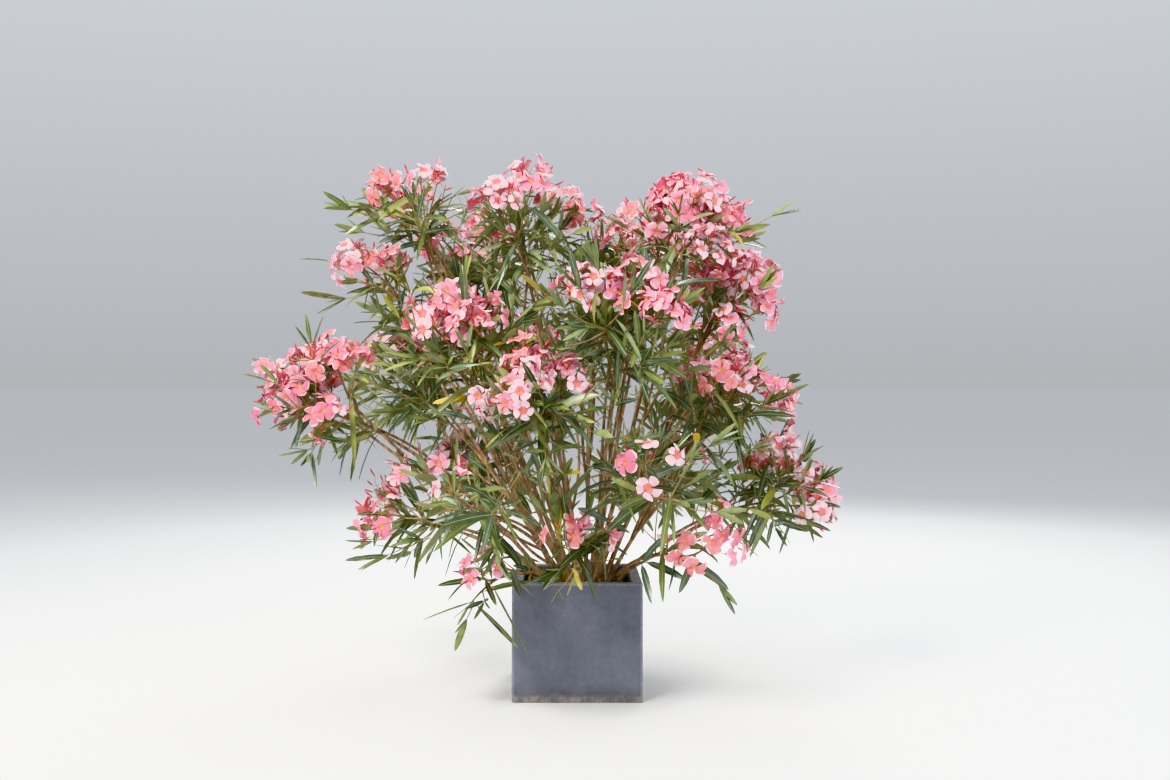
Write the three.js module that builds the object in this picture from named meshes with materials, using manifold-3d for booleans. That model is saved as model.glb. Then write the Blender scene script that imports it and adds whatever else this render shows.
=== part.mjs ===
// A potted oleander in flower, in millimetres, +Z up, with its origin at the centre of the pot's underside.
// A square fibre-cement pot is filled with soil. A clump of bare stems fans out of the soil, one to each mass
// of foliage. A mass is a leader with leafy twigs, some of them ending in a truss of blossom.
import * as THREE from "three";
import { mergeVertices } from "three/addons/utils/BufferGeometryUtils.js";
import Module from "manifold-3d";

const wasm = await Module();
wasm.setup();

// Corners nearer to each other than this are one corner of a solid
const WELD_DISTANCE = 1e-4;

// Pot and soil
const POT_WIDTH = 420;
const POT_HEIGHT = 380;
const POT_CORNER = 7;
const POT_CORNER_STEPS = 3;
const RIM_WIDTH = 35;
const RIM_DEPTH = 34;
const RIM_ROUND = 4;
const WALL = 18;
const FLOOR = 22;
const SOIL_DROP = 48;
const GAP = 0.3;
const SOIL_TOP = POT_HEIGHT - SOIL_DROP;

// Limbs, one from the clump's foot to each mass's heart. The bare stem is the first share of it.
const UPWARD = new THREE.Vector3(0, 0, 1);
const ASKEW = new THREE.Vector3(0.2, 0.9, 0.4);
const CLUMP = new THREE.Vector3(25, 0, SOIL_TOP + GAP);
const CLUMP_RADIUS = 112;
const FOOT_SPACING = 40;
const FOOT_PASSES = 60;
const LIMB_LIFT = 1.3;
const STEM_LEAST = 0.55;
const STEM_MOST = 0.85;
const STEM_SEARCH = 0.03;
const STEM_RADIUS_FOOT = 6;
const STEM_RADIUS_PER_REACH = 0.0018;
const STEM_RADIUS_TIP = 5.2;
const STEM_FLARE = 0.2;
const STEM_FLARE_SHARE = 0.06;
const STEM_SIDES = 5;
const STEM_STEPS = 5;
const STEM_TESTS = 12;
const HINGE_LEAST = 1e-3;

// Twigs that branch from the leader, inside the mass's own space
const SPACE_MARGIN = 3;
const LEADER_SIDES = 4;
const LEADER_RADIUS = 4.8;
const FORK_FIRST = 0.3;
const FORK_LAST = 0.95;
const TWIG_CAP = 1.25;
const TWIG_RISE = 0.3;
const TWIG_SPREAD_LEAST = 0.85;
const TWIG_SHORTEST = 0.25;
const TWIG_SHORTEN = 0.9;
const TWIG_BOW = 0.35;
const TWIG_RADIUS_FOOT = 3.2;
const TWIG_RADIUS = 3.8;
const TWIG_RADIUS_TIP = 2.6;
const TWIG_SIDES = 3;
const TWIG_TESTS = 8;
const TWIG_CLEARANCE = 16;
const GOLDEN_ANGLE = Math.PI * (3 - Math.sqrt(5));

// Leaves, in whorls of three, larger than life
const LEAF_LENGTH = 175;
const LEAF_WIDTH = 32;
const LEAF_FOLD = 6;
const LEAF_WIDEST = 0.45;
const LEAF_OPEN = 1;
const LEAF_OPEN_TIP = 0.6;
const LEAF_DROOP = 0.2;
const LEAF_SUNK = 0.5;
const LEAF_CLEARANCE = 24;
const LEAF_OVERLAP = 5;
const LEAF_TRIES = 2;
const LEAF_TESTS = [0.25, 0.5, 0.75, 1];
const WHORL = 3;
const WHORL_LOW = 0.5;
const WHORL_LOW_LEADER = 0.6;
const WHORL_UNDER_TRUSS = 0.72;
const WHORL_TIP = 0.97;

// Blossom, in trusses of a few funnel-shaped flowers, larger than life
const FLOWERS = 2;
const FLOWER_STEP = 0.12;
const FLOWER_RADIUS = 42;
const FLOWER_NOTCH = 0.5;
const FLOWER_NOTCH_BACK = 6;
const FLOWER_REACH = 40;
const FLOWER_CUP = 4;
const FLOWER_OPEN = 1;
const FLOWER_OPEN_TIP = 0.25;
const FLOWER_SUNK = 0.5;
const FLOWER_OVERLAP = 60;
const PETALS = 5;

// One row for each limb with its mass: where the mass's heart lies from the clump (azimuth 0 is +X and 90 is
// +Y, rise 90 is +Z, and reach is in millimetres), how far its twigs spread from there, how many twigs and
// trusses it has, and how far round the first twig is turned.
const MASSES = [
  { name: "top_left", azimuth: 175, rise: 65, reach: 1340, spread: 190, twigs: 5, trusses: 3, turn: 10 },
  { name: "top_middle", azimuth: -153, rise: 79, reach: 1185, spread: 200, twigs: 5, trusses: 4, turn: 165 },
  { name: "top_right", azimuth: -18, rise: 74, reach: 1175, spread: 205, twigs: 5, trusses: 3, turn: 325 },
  { name: "right_shoulder", azimuth: 2, rise: 64, reach: 1035, spread: 195, twigs: 5, trusses: 4, turn: 220 },
  { name: "left_shoulder", azimuth: 177, rise: 57, reach: 1180, spread: 175, twigs: 4, trusses: 3, turn: 25 },
  { name: "centre_right", azimuth: -76, rise: 62, reach: 935, spread: 215, twigs: 5, trusses: 3, turn: 235 },
  { name: "centre_front", azimuth: -106, rise: 49, reach: 780, spread: 215, twigs: 5, trusses: 4, turn: 310 },
  { name: "centre_left", azimuth: -135, rise: 55, reach: 905, spread: 205, twigs: 5, trusses: 3, turn: 15 },
  { name: "far_left", azimuth: -174, rise: 36, reach: 1030, spread: 210, twigs: 5, trusses: 4, turn: 260 },
  { name: "right_side", azimuth: -19, rise: 52, reach: 735, spread: 200, twigs: 5, trusses: 4, turn: 140 },
  { name: "right_low", azimuth: 0, rise: 25, reach: 685, spread: 195, twigs: 5, trusses: 4, turn: 225 },
  { name: "front_low_left", azimuth: -121, rise: 27, reach: 675, spread: 210, twigs: 5, trusses: 2, turn: 95 },
  { name: "front_low_right", azimuth: -73, rise: 36, reach: 625, spread: 210, twigs: 5, trusses: 1, turn: 90 },
  { name: "left_low", azimuth: -166, rise: 24, reach: 585, spread: 200, twigs: 5, trusses: 4, turn: 305 },
  { name: "right_droop", azimuth: -51, rise: 19, reach: 490, spread: 170, twigs: 4, trusses: 2, turn: 95 },
  { name: "pot_left", azimuth: -140, rise: 10, reach: 380, spread: 120, twigs: 3, trusses: 1, turn: 135 },
  { name: "front_base", azimuth: -96, rise: 27, reach: 365, spread: 150, twigs: 4, trusses: 2, turn: 50 },
  { name: "back_top_left", azimuth: 136, rise: 62, reach: 1180, spread: 210, twigs: 5, trusses: 3, turn: 40 },
  { name: "back_top_right", azimuth: 59, rise: 66, reach: 1150, spread: 210, twigs: 5, trusses: 3, turn: 200 },
  { name: "back_left", azimuth: 145, rise: 41, reach: 980, spread: 215, twigs: 5, trusses: 2, turn: 120 },
  { name: "back_middle", azimuth: 102, rise: 50, reach: 920, spread: 215, twigs: 4, trusses: 2, turn: 300 },
  { name: "back_right", azimuth: 46, rise: 46, reach: 890, spread: 215, twigs: 5, trusses: 2, turn: 20 },
  { name: "back_low_left", azimuth: 126, rise: 28, reach: 680, spread: 205, twigs: 4, trusses: 1, turn: 80 },
  { name: "back_low_right", azimuth: 62, rise: 28, reach: 660, spread: 205, twigs: 4, trusses: 1, turn: 160 },
  { name: "top_centre", azimuth: 76, rise: 82, reach: 1095, spread: 175, twigs: 5, trusses: 2, turn: 60 },
];

// The series of numbers that the twigs, leaves and flowers are drawn from
const SERIES_SCATTER = 2654435761;
const SERIES_START = 12345;
const SERIES_FACTOR = 1664525;
const SERIES_STEP = 1013904223;
const SERIES_RANGE = 2 ** 32;

const concrete = new THREE.MeshStandardMaterial({ color: 0x777a82, roughness: 0.8, metalness: 0 });
const earth = new THREE.MeshStandardMaterial({ color: 0x2e241b, roughness: 1, metalness: 0 });
const bark = new THREE.MeshStandardMaterial({ color: 0x8a6f52, roughness: 0.85, metalness: 0 });
const foliage = new THREE.MeshStandardMaterial({ color: 0x4f6b3a, roughness: 0.5, metalness: 0 });

// A repeatable series of numbers from 0 to 1 for each seed.
function seededNumbers(seed) {
  let state = (Math.imul(seed + 1, SERIES_SCATTER) + SERIES_START) >>> 0;
  const next = () => {
    state = (Math.imul(state, SERIES_FACTOR) + SERIES_STEP) >>> 0;
    return state / SERIES_RANGE;
  };
  next();
  next();
  return next;
}

function toSolid(geometry) {
  geometry.deleteAttribute("normal");
  geometry.deleteAttribute("uv");
  const merged = mergeVertices(geometry, WELD_DISTANCE);
  const mesh = new wasm.Mesh({
    numProp: 3,
    vertProperties: merged.attributes.position.array,
    triVerts: new Uint32Array(merged.index.array),
  });
  return new wasm.Manifold(mesh);
}

// The solid that triangles make from corner points, each triangle three places in the list of corners.
function solidOfFaces(corners, faces) {
  const geometry = new THREE.BufferGeometry().setFromPoints(corners);
  geometry.setIndex(faces.flat());
  return toSolid(geometry);
}

function toMesh(name, solid, material) {
  const whole = solid.getMesh();
  const geometry = new THREE.BufferGeometry();
  geometry.setAttribute("position", new THREE.BufferAttribute(whole.vertProperties, 3));
  geometry.setIndex(new THREE.BufferAttribute(whole.triVerts, 1));
  geometry.computeVertexNormals();
  const mesh = new THREE.Mesh(geometry, material);
  mesh.name = name;
  return mesh;
}

// A direction at an angle to an axis, turned about it.
function turnedFrom(axis, open, turn) {
  const side = new THREE.Vector3().crossVectors(axis, ASKEW).normalize();
  const other = new THREE.Vector3().crossVectors(axis, side);
  return axis
    .clone()
    .multiplyScalar(Math.cos(open))
    .addScaledVector(side, Math.sin(open) * Math.cos(turn))
    .addScaledVector(other, Math.sin(open) * Math.sin(turn));
}

// A tapering limb through points, as rings of corners that each lie square to the limb. Its foot's ring lies
// level if the limb stands on something.
function makeLimb(points, tangents, radii, sides, levelFoot) {
  const hinge = new THREE.Vector3().crossVectors(tangents[0], tangents.at(-1));
  if (hinge.length() < HINGE_LEAST) hinge.crossVectors(tangents[0], ASKEW);
  hinge.normalize();
  const corners = points.flatMap((point, ring) => {
    const along = levelFoot && ring === 0 ? UPWARD : tangents[ring];
    const across = hinge.clone().addScaledVector(along, -hinge.dot(along)).normalize();
    const out = new THREE.Vector3().crossVectors(along, across);
    return Array.from({ length: sides }, (_, i) => {
      const angle = (i * 2 * Math.PI) / sides;
      const corner = point.clone().addScaledVector(across, radii[ring] * Math.cos(angle));
      return corner.addScaledVector(out, radii[ring] * Math.sin(angle));
    });
  });
  const faces = [];
  for (let start = 0; start + sides < corners.length; start += sides) {
    for (let i = 0; i < sides; i++) {
      const next = (i + 1) % sides;
      faces.push([start + i, start + next, start + sides + next]);
      faces.push([start + i, start + sides + next, start + sides + i]);
    }
  }
  const last = corners.length - sides;
  for (let i = 1; i + 1 < sides; i++) faces.push([0, i + 1, i], [last, last + i, last + i + 1]);
  return solidOfFaces(corners, faces);
}

function makePot() {
  const half = POT_WIDTH / 2;
  const opening = half - RIM_WIDTH;
  const inner = half - WALL;
  const profile = [
    [0, 0],
    [half, 0],
    [half, POT_HEIGHT - RIM_ROUND],
    [half - RIM_ROUND, POT_HEIGHT],
    [opening + RIM_ROUND, POT_HEIGHT],
    [opening, POT_HEIGHT - RIM_ROUND],
    [opening, POT_HEIGHT - RIM_DEPTH],
    [inner, POT_HEIGHT - RIM_DEPTH],
    [inner, FLOOR],
    [0, FLOOR],
  ];
  const square = new THREE.LatheGeometry(
    profile.map(([x, z]) => new THREE.Vector2(x * Math.SQRT2, z)),
    4,
  );
  square.rotateY(Math.PI / 4);
  square.rotateX(Math.PI / 2);
  const straight = half - POT_CORNER;
  const outline = new THREE.Shape();
  outline.moveTo(half, -straight);
  outline.absarc(straight, straight, POT_CORNER, 0, Math.PI / 2);
  outline.absarc(-straight, straight, POT_CORNER, Math.PI / 2, Math.PI);
  outline.absarc(-straight, -straight, POT_CORNER, Math.PI, Math.PI * 1.5);
  outline.absarc(straight, -straight, POT_CORNER, Math.PI * 1.5, Math.PI * 2);
  const block = new THREE.ExtrudeGeometry(outline, {
    depth: 2 * POT_HEIGHT,
    bevelEnabled: false,
    curveSegments: POT_CORNER_STEPS,
  });
  block.translate(0, 0, -POT_HEIGHT / 2);
  return toMesh("pot", toSolid(square).intersect(toSolid(block)), concrete);
}

function makeSoil() {
  const width = POT_WIDTH - 2 * WALL - 2 * GAP;
  const height = SOIL_TOP - FLOOR - GAP;
  const block = new THREE.BoxGeometry(width, width, height);
  block.translate(0, 0, FLOOR + GAP + height / 2);
  return toMesh("soil", toSolid(block), earth);
}

// The hearts of the masses, and the feet of their limbs: lower masses on limbs nearer the clump's rim, and the
// feet then pushed apart until each has room.
function placeHeartsAndFeet() {
  const masses = MASSES.map((row, number) => {
    const azimuth = THREE.MathUtils.degToRad(row.azimuth);
    const rise = THREE.MathUtils.degToRad(row.rise);
    const flat = new THREE.Vector3(Math.cos(azimuth), Math.sin(azimuth), 0);
    const heart = CLUMP.clone()
      .addScaledVector(flat, row.reach * Math.cos(rise))
      .addScaledVector(UPWARD, row.reach * Math.sin(rise));
    const foot = CLUMP.clone().addScaledVector(flat, CLUMP_RADIUS * Math.cos(rise));
    return { ...row, number, heart, foot };
  });
  for (let pass = 0; pass < FOOT_PASSES; pass++) {
    for (const one of masses) {
      for (const other of masses.slice(one.number + 1)) {
        const apart = other.foot.clone().sub(one.foot);
        const short = FOOT_SPACING - apart.length();
        if (short <= 0) continue;
        apart.normalize();
        one.foot.addScaledVector(apart, -short / 2);
        other.foot.addScaledVector(apart, short / 2);
      }
    }
  }
  return masses;
}

// Each limb as one arching curve, and the share of it that is bare stem, up to where it enters its mass's
// space.
function growLimbs(masses) {
  for (const mass of masses) {
    const reach = mass.heart.clone().sub(mass.foot);
    mass.outward = reach.clone().normalize();
    const lift = LIMB_LIFT * (1 - mass.outward.z);
    const bend = mass.outward.clone().addScaledVector(UPWARD, lift).normalize();
    const elbow = mass.foot.clone().addScaledVector(bend, reach.length() / 2);
    mass.limb = new THREE.QuadraticBezierCurve3(mass.foot, elbow, mass.heart);
    mass.stemShare = STEM_MOST;
    while (mass.stemShare > STEM_LEAST) {
      const lower = mass.stemShare - STEM_SEARCH;
      if (!isOwn(mass.limb.getPoint(lower), mass, masses)) break;
      mass.stemShare = lower;
    }
    mass.stemPoints = Array.from({ length: STEM_TESTS + 1 }, (_, i) => {
      return mass.limb.getPoint((mass.stemShare * i) / STEM_TESTS);
    });
  }
}

function stemRadius(mass, share) {
  const flare = 1 + STEM_FLARE * Math.max(0, 1 - share / STEM_FLARE_SHARE);
  const foot = STEM_RADIUS_FOOT + STEM_RADIUS_PER_REACH * mass.reach;
  return THREE.MathUtils.lerp(foot, STEM_RADIUS_TIP, share) * flare;
}

function makeStem(mass) {
  const shares = Array.from({ length: STEM_STEPS + 1 }, (_, i) => i / STEM_STEPS);
  shares.splice(1, 0, STEM_FLARE_SHARE);
  const points = shares.map((share) => mass.limb.getPoint(mass.stemShare * share));
  const tangents = shares.map((share) => mass.limb.getTangent(mass.stemShare * share));
  const radii = shares.map((share) => stemRadius(mass, share));
  return toMesh("stem_" + mass.name, makeLimb(points, tangents, radii, STEM_SIDES, true), bark);
}

// A point is a mass's own if it lies on the mass's side of the planes midway to the other masses' hearts.
function isOwn(point, mass, masses) {
  return masses.every((other) => {
    if (other === mass) return true;
    const toOther = other.heart.clone().sub(mass.heart);
    const along = point.clone().sub(mass.heart).dot(toOther) / toOther.length();
    return along < toOther.length() / 2 - SPACE_MARGIN;
  });
}

function distanceToStem(point, mass) {
  const nearest = new THREE.Vector3();
  const last = mass.stemPoints.length - 1;
  let least = Infinity;
  for (let i = 0; i < last; i++) {
    new THREE.Line3(mass.stemPoints[i], mass.stemPoints[i + 1]).closestPointToPoint(point, true, nearest);
    least = Math.min(least, nearest.distanceTo(point) - stemRadius(mass, i / last));
  }
  return least;
}

// A point is free for a mass if it is the mass's own, and clear of the pot, the ground and every stem.
function isFree(point, mass, masses, clearance) {
  const potReach = POT_WIDTH / 2 + clearance / 2;
  const overPot = Math.abs(point.x) < potReach && Math.abs(point.y) < potReach;
  const floor = overPot ? POT_HEIGHT + clearance / 2 : clearance;
  if (point.z < floor || !isOwn(point, mass, masses)) return false;
  return masses.every((other) => distanceToStem(point, other) > clearance);
}

function areFree(points, mass, masses, clearance) {
  return points.every((point) => isFree(point, mass, masses, clearance));
}

// The ends that a mass's twigs grow to, spread evenly over the outer side of a ball round its heart.
function twigEnds(mass, masses, random) {
  const pole = mass.outward.clone().addScaledVector(UPWARD, TWIG_RISE).normalize();
  const first = THREE.MathUtils.degToRad(mass.turn);
  return Array.from({ length: mass.twigs }, (_, i) => {
    const open = Math.acos(1 - ((i + 0.5) / mass.twigs) * (1 - Math.cos(TWIG_CAP)));
    const way = turnedFrom(pole, open, first + i * GOLDEN_ANGLE);
    let reach = mass.spread * THREE.MathUtils.lerp(TWIG_SPREAD_LEAST, 1, random());
    const end = () => mass.heart.clone().addScaledVector(way, reach);
    while (!isFree(end(), mass, masses, TWIG_CLEARANCE) && reach > TWIG_SHORTEST * mass.spread) {
      reach *= TWIG_SHORTEN;
    }
    return end();
  });
}

// A leaf as a lozenge blade, its edges lifted above its keel.
function makeLeaf(root, way, upper) {
  const across = new THREE.Vector3().crossVectors(way, upper).normalize();
  const top = new THREE.Vector3().crossVectors(across, way);
  const middle = root.clone().addScaledVector(way, LEAF_LENGTH * LEAF_WIDEST).addScaledVector(top, LEAF_FOLD);
  const corners = [
    root.clone().addScaledVector(way, -LEAF_SUNK),
    root.clone().addScaledVector(way, LEAF_LENGTH),
    middle.clone().addScaledVector(across, -LEAF_WIDTH / 2),
    middle.clone().addScaledVector(across, LEAF_WIDTH / 2),
  ];
  const faces = [
    [0, 3, 2],
    [1, 2, 3],
    [0, 1, 3],
    [0, 2, 1],
  ];
  return { solid: solidOfFaces(corners, faces), corners };
}

// A flower as a five-pointed cup on a five-sided funnel.
function makeFlower(root, way, turn) {
  const centre = root.clone().addScaledVector(way, FLOWER_REACH);
  const corners = [
    root.clone().addScaledVector(way, -FLOWER_SUNK),
    centre.clone().addScaledVector(way, -FLOWER_CUP),
  ];
  for (let i = 0; i < 2 * PETALS; i++) {
    const isNotch = i % 2;
    const corner = centre.clone().addScaledVector(way, isNotch ? -FLOWER_NOTCH_BACK : 0);
    const out = turnedFrom(way, Math.PI / 2, turn + (i * Math.PI) / PETALS);
    corners.push(corner.addScaledVector(out, FLOWER_RADIUS * (isNotch ? FLOWER_NOTCH : 1)));
  }
  const faces = [];
  for (let petal = 0; petal < PETALS; petal++) {
    const tip = 2 + 2 * petal;
    const notch = tip + 1;
    const notchBefore = 2 + ((2 * petal + 2 * PETALS - 1) % (2 * PETALS));
    faces.push([1, notchBefore, tip], [1, tip, notch]);
    faces.push([tip, notchBefore, notch], [0, notch, notchBefore]);
  }
  return { solid: solidOfFaces(corners, faces), corners, centre };
}

// Joins a piece to what has grown of a mass, unless it would cut through that away from its own root.
function joinIfClear(growth, solid, overlap) {
  if (growth.solid.intersect(solid).volume() > overlap) return false;
  growth.solid = growth.solid.add(solid);
  return true;
}

function addWhorl(growth, twig, share, open, random) {
  const { mass, masses } = growth;
  const root = twig.path.getPoint(share);
  const axis = twig.path.getTangent(share);
  const first = random() * 2 * Math.PI;
  for (let i = 0; i < WHORL; i++) {
    for (let attempt = 0; attempt < LEAF_TRIES; attempt++) {
      const way = turnedFrom(axis, open, first + ((i + attempt / LEAF_TRIES) * 2 * Math.PI) / WHORL);
      way.z -= LEAF_DROOP * (1 - way.z * way.z);
      way.normalize();
      const leaf = makeLeaf(root, way, axis);
      const along = LEAF_TESTS.map((test) => root.clone().addScaledVector(way, LEAF_LENGTH * test));
      if (!areFree(leaf.corners, mass, masses, 0)) continue;
      if (!areFree(along, mass, masses, LEAF_CLEARANCE)) continue;
      if (joinIfClear(growth, leaf.solid, LEAF_OVERLAP)) break;
    }
  }
}

function addTruss(growth, twig, random) {
  const { mass, masses } = growth;
  const first = random() * 2 * Math.PI;
  for (let i = 0; i < FLOWERS; i++) {
    const share = 1 - i * FLOWER_STEP;
    const open = i === 0 ? FLOWER_OPEN_TIP : FLOWER_OPEN;
    const way = turnedFrom(twig.path.getTangent(share), open, first + i * GOLDEN_ANGLE);
    const flower = makeFlower(twig.path.getPoint(share), way, random() * Math.PI);
    if (!areFree(flower.corners, mass, masses, 0)) continue;
    if (!isFree(flower.centre, mass, masses, FLOWER_RADIUS)) continue;
    joinIfClear(growth, flower.solid, FLOWER_OVERLAP);
  }
}

// A twig through points, as its solid and the path that its leaves and flowers stand on.
function makeTwig(points, tangents, radii, sides) {
  const path = new THREE.CurvePath();
  for (let i = 0; i + 1 < points.length; i++) path.add(new THREE.LineCurve3(points[i], points[i + 1]));
  return { path, solid: makeLimb(points, tangents, radii, sides, false) };
}

// The leader that carries a mass on from its stem, past its heart, to the first of its ends.
function makeLeader(mass, end) {
  const onward = mass.limb.getTangent(mass.stemShare);
  const foot = mass.limb.getPoint(mass.stemShare).addScaledVector(onward, GAP);
  const last = end.clone().sub(mass.heart).normalize();
  const middle = mass.limb.getTangent(1).add(last).normalize();
  const radii = [STEM_RADIUS_TIP, LEADER_RADIUS, TWIG_RADIUS_TIP];
  return makeTwig([foot, mass.heart, end], [onward, middle, last], radii, LEADER_SIDES);
}

function makeSideTwig(mass, masses, leader, end, number) {
  const fork = THREE.MathUtils.lerp(FORK_FIRST, FORK_LAST, (number - 1) / (mass.twigs - 2));
  const foot = leader.path.curves[0].getPoint(fork);
  const reach = end.clone().sub(foot);
  const bend = reach.clone().normalize().lerp(leader.path.getTangent(0), TWIG_BOW).normalize();
  const elbow = foot.clone().addScaledVector(bend, reach.length() / 2);
  const curve = new THREE.QuadraticBezierCurve3(foot, elbow, end);
  if (!areFree(curve.getPoints(TWIG_TESTS).slice(1), mass, masses, TWIG_CLEARANCE)) return null;
  const tangents = [0, 0.5, 1].map((share) => curve.getTangent(share));
  const radii = [TWIG_RADIUS_FOOT, TWIG_RADIUS, TWIG_RADIUS_TIP];
  return makeTwig(curve.getPoints(2), tangents, radii, TWIG_SIDES);
}

// A mass's leader, its other twigs, and their blossom and leaves, fused into one solid. Only its largest body
// is kept, so nothing in it lies loose.
function makeFoliage(mass, masses) {
  const random = seededNumbers(mass.number);
  const ends = twigEnds(mass, masses, random);
  const leader = makeLeader(mass, ends[0]);
  const sideTwigs = ends.slice(1).map((end, i) => makeSideTwig(mass, masses, leader, end, i + 1));
  const twigs = [leader, ...sideTwigs.filter((twig) => twig !== null)];
  const growth = { mass, masses, solid: wasm.Manifold.union(twigs.map((twig) => twig.solid)) };
  const inFlower = twigs.slice(0, mass.trusses);
  for (const twig of inFlower) addTruss(growth, twig, random);
  for (const twig of twigs) {
    const low = twig === leader ? WHORL_LOW_LEADER : WHORL_LOW;
    addWhorl(growth, twig, low, LEAF_OPEN, random);
    if (inFlower.includes(twig)) addWhorl(growth, twig, WHORL_UNDER_TRUSS, LEAF_OPEN, random);
    else addWhorl(growth, twig, WHORL_TIP, LEAF_OPEN_TIP, random);
  }
  const bodies = growth.solid.decompose();
  bodies.sort((a, b) => b.volume() - a.volume());
  return toMesh("foliage_" + mass.name, bodies[0], foliage);
}

const plant = new THREE.Group();
plant.name = "potted_oleander";
plant.add(makePot(), makeSoil());
const masses = placeHeartsAndFeet();
growLimbs(masses);
for (const mass of masses) plant.add(makeStem(mass), makeFoliage(mass, masses));

export default plant;
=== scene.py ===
"""The looks of a potted oleander in flower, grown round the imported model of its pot, stems and foliage.

Everything is in metres, +Z up, with the origin at the centre of the pot's underside. Limbs and twigs grow by
the rule of the part's source, from the same rows and the same series of numbers. They are then carried to
finer shoots, leaves and blossom within the same reach.
"""

import math

import bpy
import numpy as np
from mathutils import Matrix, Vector, noise


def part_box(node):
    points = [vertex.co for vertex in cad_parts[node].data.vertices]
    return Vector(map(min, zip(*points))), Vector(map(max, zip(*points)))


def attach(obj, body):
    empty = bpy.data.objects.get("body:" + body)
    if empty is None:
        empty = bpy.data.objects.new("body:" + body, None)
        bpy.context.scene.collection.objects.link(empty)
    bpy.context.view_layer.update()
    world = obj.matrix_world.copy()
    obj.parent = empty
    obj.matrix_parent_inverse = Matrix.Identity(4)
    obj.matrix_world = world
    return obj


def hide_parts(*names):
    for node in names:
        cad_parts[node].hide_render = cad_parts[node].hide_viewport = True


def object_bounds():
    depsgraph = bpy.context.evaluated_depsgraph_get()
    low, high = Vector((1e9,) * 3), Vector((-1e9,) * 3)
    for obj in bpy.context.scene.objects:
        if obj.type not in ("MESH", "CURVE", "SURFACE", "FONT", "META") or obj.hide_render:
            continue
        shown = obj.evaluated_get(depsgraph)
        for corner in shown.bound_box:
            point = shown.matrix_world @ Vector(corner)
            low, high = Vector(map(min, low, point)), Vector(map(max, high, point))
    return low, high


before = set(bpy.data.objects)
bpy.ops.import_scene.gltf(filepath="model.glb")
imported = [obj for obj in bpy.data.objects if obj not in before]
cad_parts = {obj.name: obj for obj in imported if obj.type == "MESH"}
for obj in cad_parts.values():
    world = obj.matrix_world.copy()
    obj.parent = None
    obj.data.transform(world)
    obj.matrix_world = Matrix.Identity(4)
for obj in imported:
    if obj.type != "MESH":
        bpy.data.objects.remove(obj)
cad_low, cad_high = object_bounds()

UPWARD = np.array([0.0, 0.0, 1.0])
ASKEW = np.array([0.2, 0.9, 0.4])
GOLDEN_ANGLE = math.pi * (3 - math.sqrt(5))
TURN = 2 * math.pi

# Camera, where the photograph was taken from: over the paving, level, along +Y
CAMERA_PLACE = (-0.0375, -4.202, 1.073)
CAMERA_LENS = 38.46
CAMERA_SENSOR = 36
CAMERA_SHIFT = (0.0166, -0.0197)

# Pot and soil, inside the boxes of their nodes
POT_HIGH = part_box("pot")[1]
POT_HALF = POT_HIGH.x
POT_TOP = POT_HIGH.z
POT_CORNER = 0.007
POT_CORNER_STEPS = 6
POT_SIDE_STEPS = 14
POT_HEIGHT_STEPS = 17
POT_FOOT_ROUND = 0.003
POT_FOOT_RINGS = (0.4, 0.8)
RIM_WIDTH = 0.035
RIM_DEPTH = 0.034
RIM_ROUND = 0.0035
RIM_RINGS = (0.33, 0.67)
ROUND_STEPS = 4
WALL = 0.018
FLOOR = 0.022
SOIL_LOW, SOIL_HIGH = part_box("soil")
SOIL_TOP = SOIL_HIGH.z
SOIL_STEPS = 64

# How uneven they are, and the waves of that, each with its scale and strength
POT_UNEVEN = 0.0006
POT_TRUE_FOOT = 0.002
POT_WAVES = ((7, 1), (31, 0.5))
POT_WAVES_SHARE = 0.4
SOIL_UNEVEN = 0.007
SOIL_WAVES = ((22, 1), (60, 0.6), (150, 0.35))

# What lies and stands on the soil, away from the rim: fallen leaves, dead sticks and a tuft of moss
LITTER_SEED = 7
LITTER_HALF = POT_HALF - RIM_WIDTH - 0.006
FALLEN_LEAVES = 90
FALLEN_LENGTH = (0.05, 0.13)
FALLEN_RISE = (0.0, 0.35)
FALLEN_SAG = (-0.1, 0.2)
FALLEN_TWIST = 1.5
FALLEN_WIDTH = 0.16
FALLEN_THICKNESS = 0.001
FALLEN_LIFT = 0.006
FALLEN_TILT = 0.3
STICKS = 60
STICK_LENGTH = (0.03, 0.11)
STICK_LEAN = 0.7
STICK_RISE = (0.1, 1.1)
STICK_ELBOW = 0.5
STICK_BOW = 0.004
STICK_RADII = (0.0024, 0.0016)
MOSS_BLADES = 130
MOSS_PLACE = (-0.085, -0.13)
MOSS_SPREAD = 0.026
MOSS_LENGTH = (0.03, 0.1)
MOSS_LEAN = 0.5
MOSS_ELBOW = 0.6
MOSS_RADII = (0.0022, 0.0008)

# Limbs, one from the clump's foot to each mass's heart
GAP = 0.0003
CLUMP = np.array([0.025, 0.0, SOIL_TOP + GAP])
CLUMP_RADIUS = 0.112
FOOT_SPACING = 0.04
FOOT_PASSES = 60
LIMB_LIFT = 1.3
STEM_LEAST = 0.55
STEM_MOST = 0.85
STEM_SEARCH = 0.03
STEM_RADIUS_FOOT = 0.006
STEM_RADIUS_PER_REACH = 0.0018
STEM_RADIUS_TIP = 0.0052
STEM_FLARE = 0.2
STEM_FLARE_SHARE = 0.06
STEM_TESTS = 12

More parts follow.
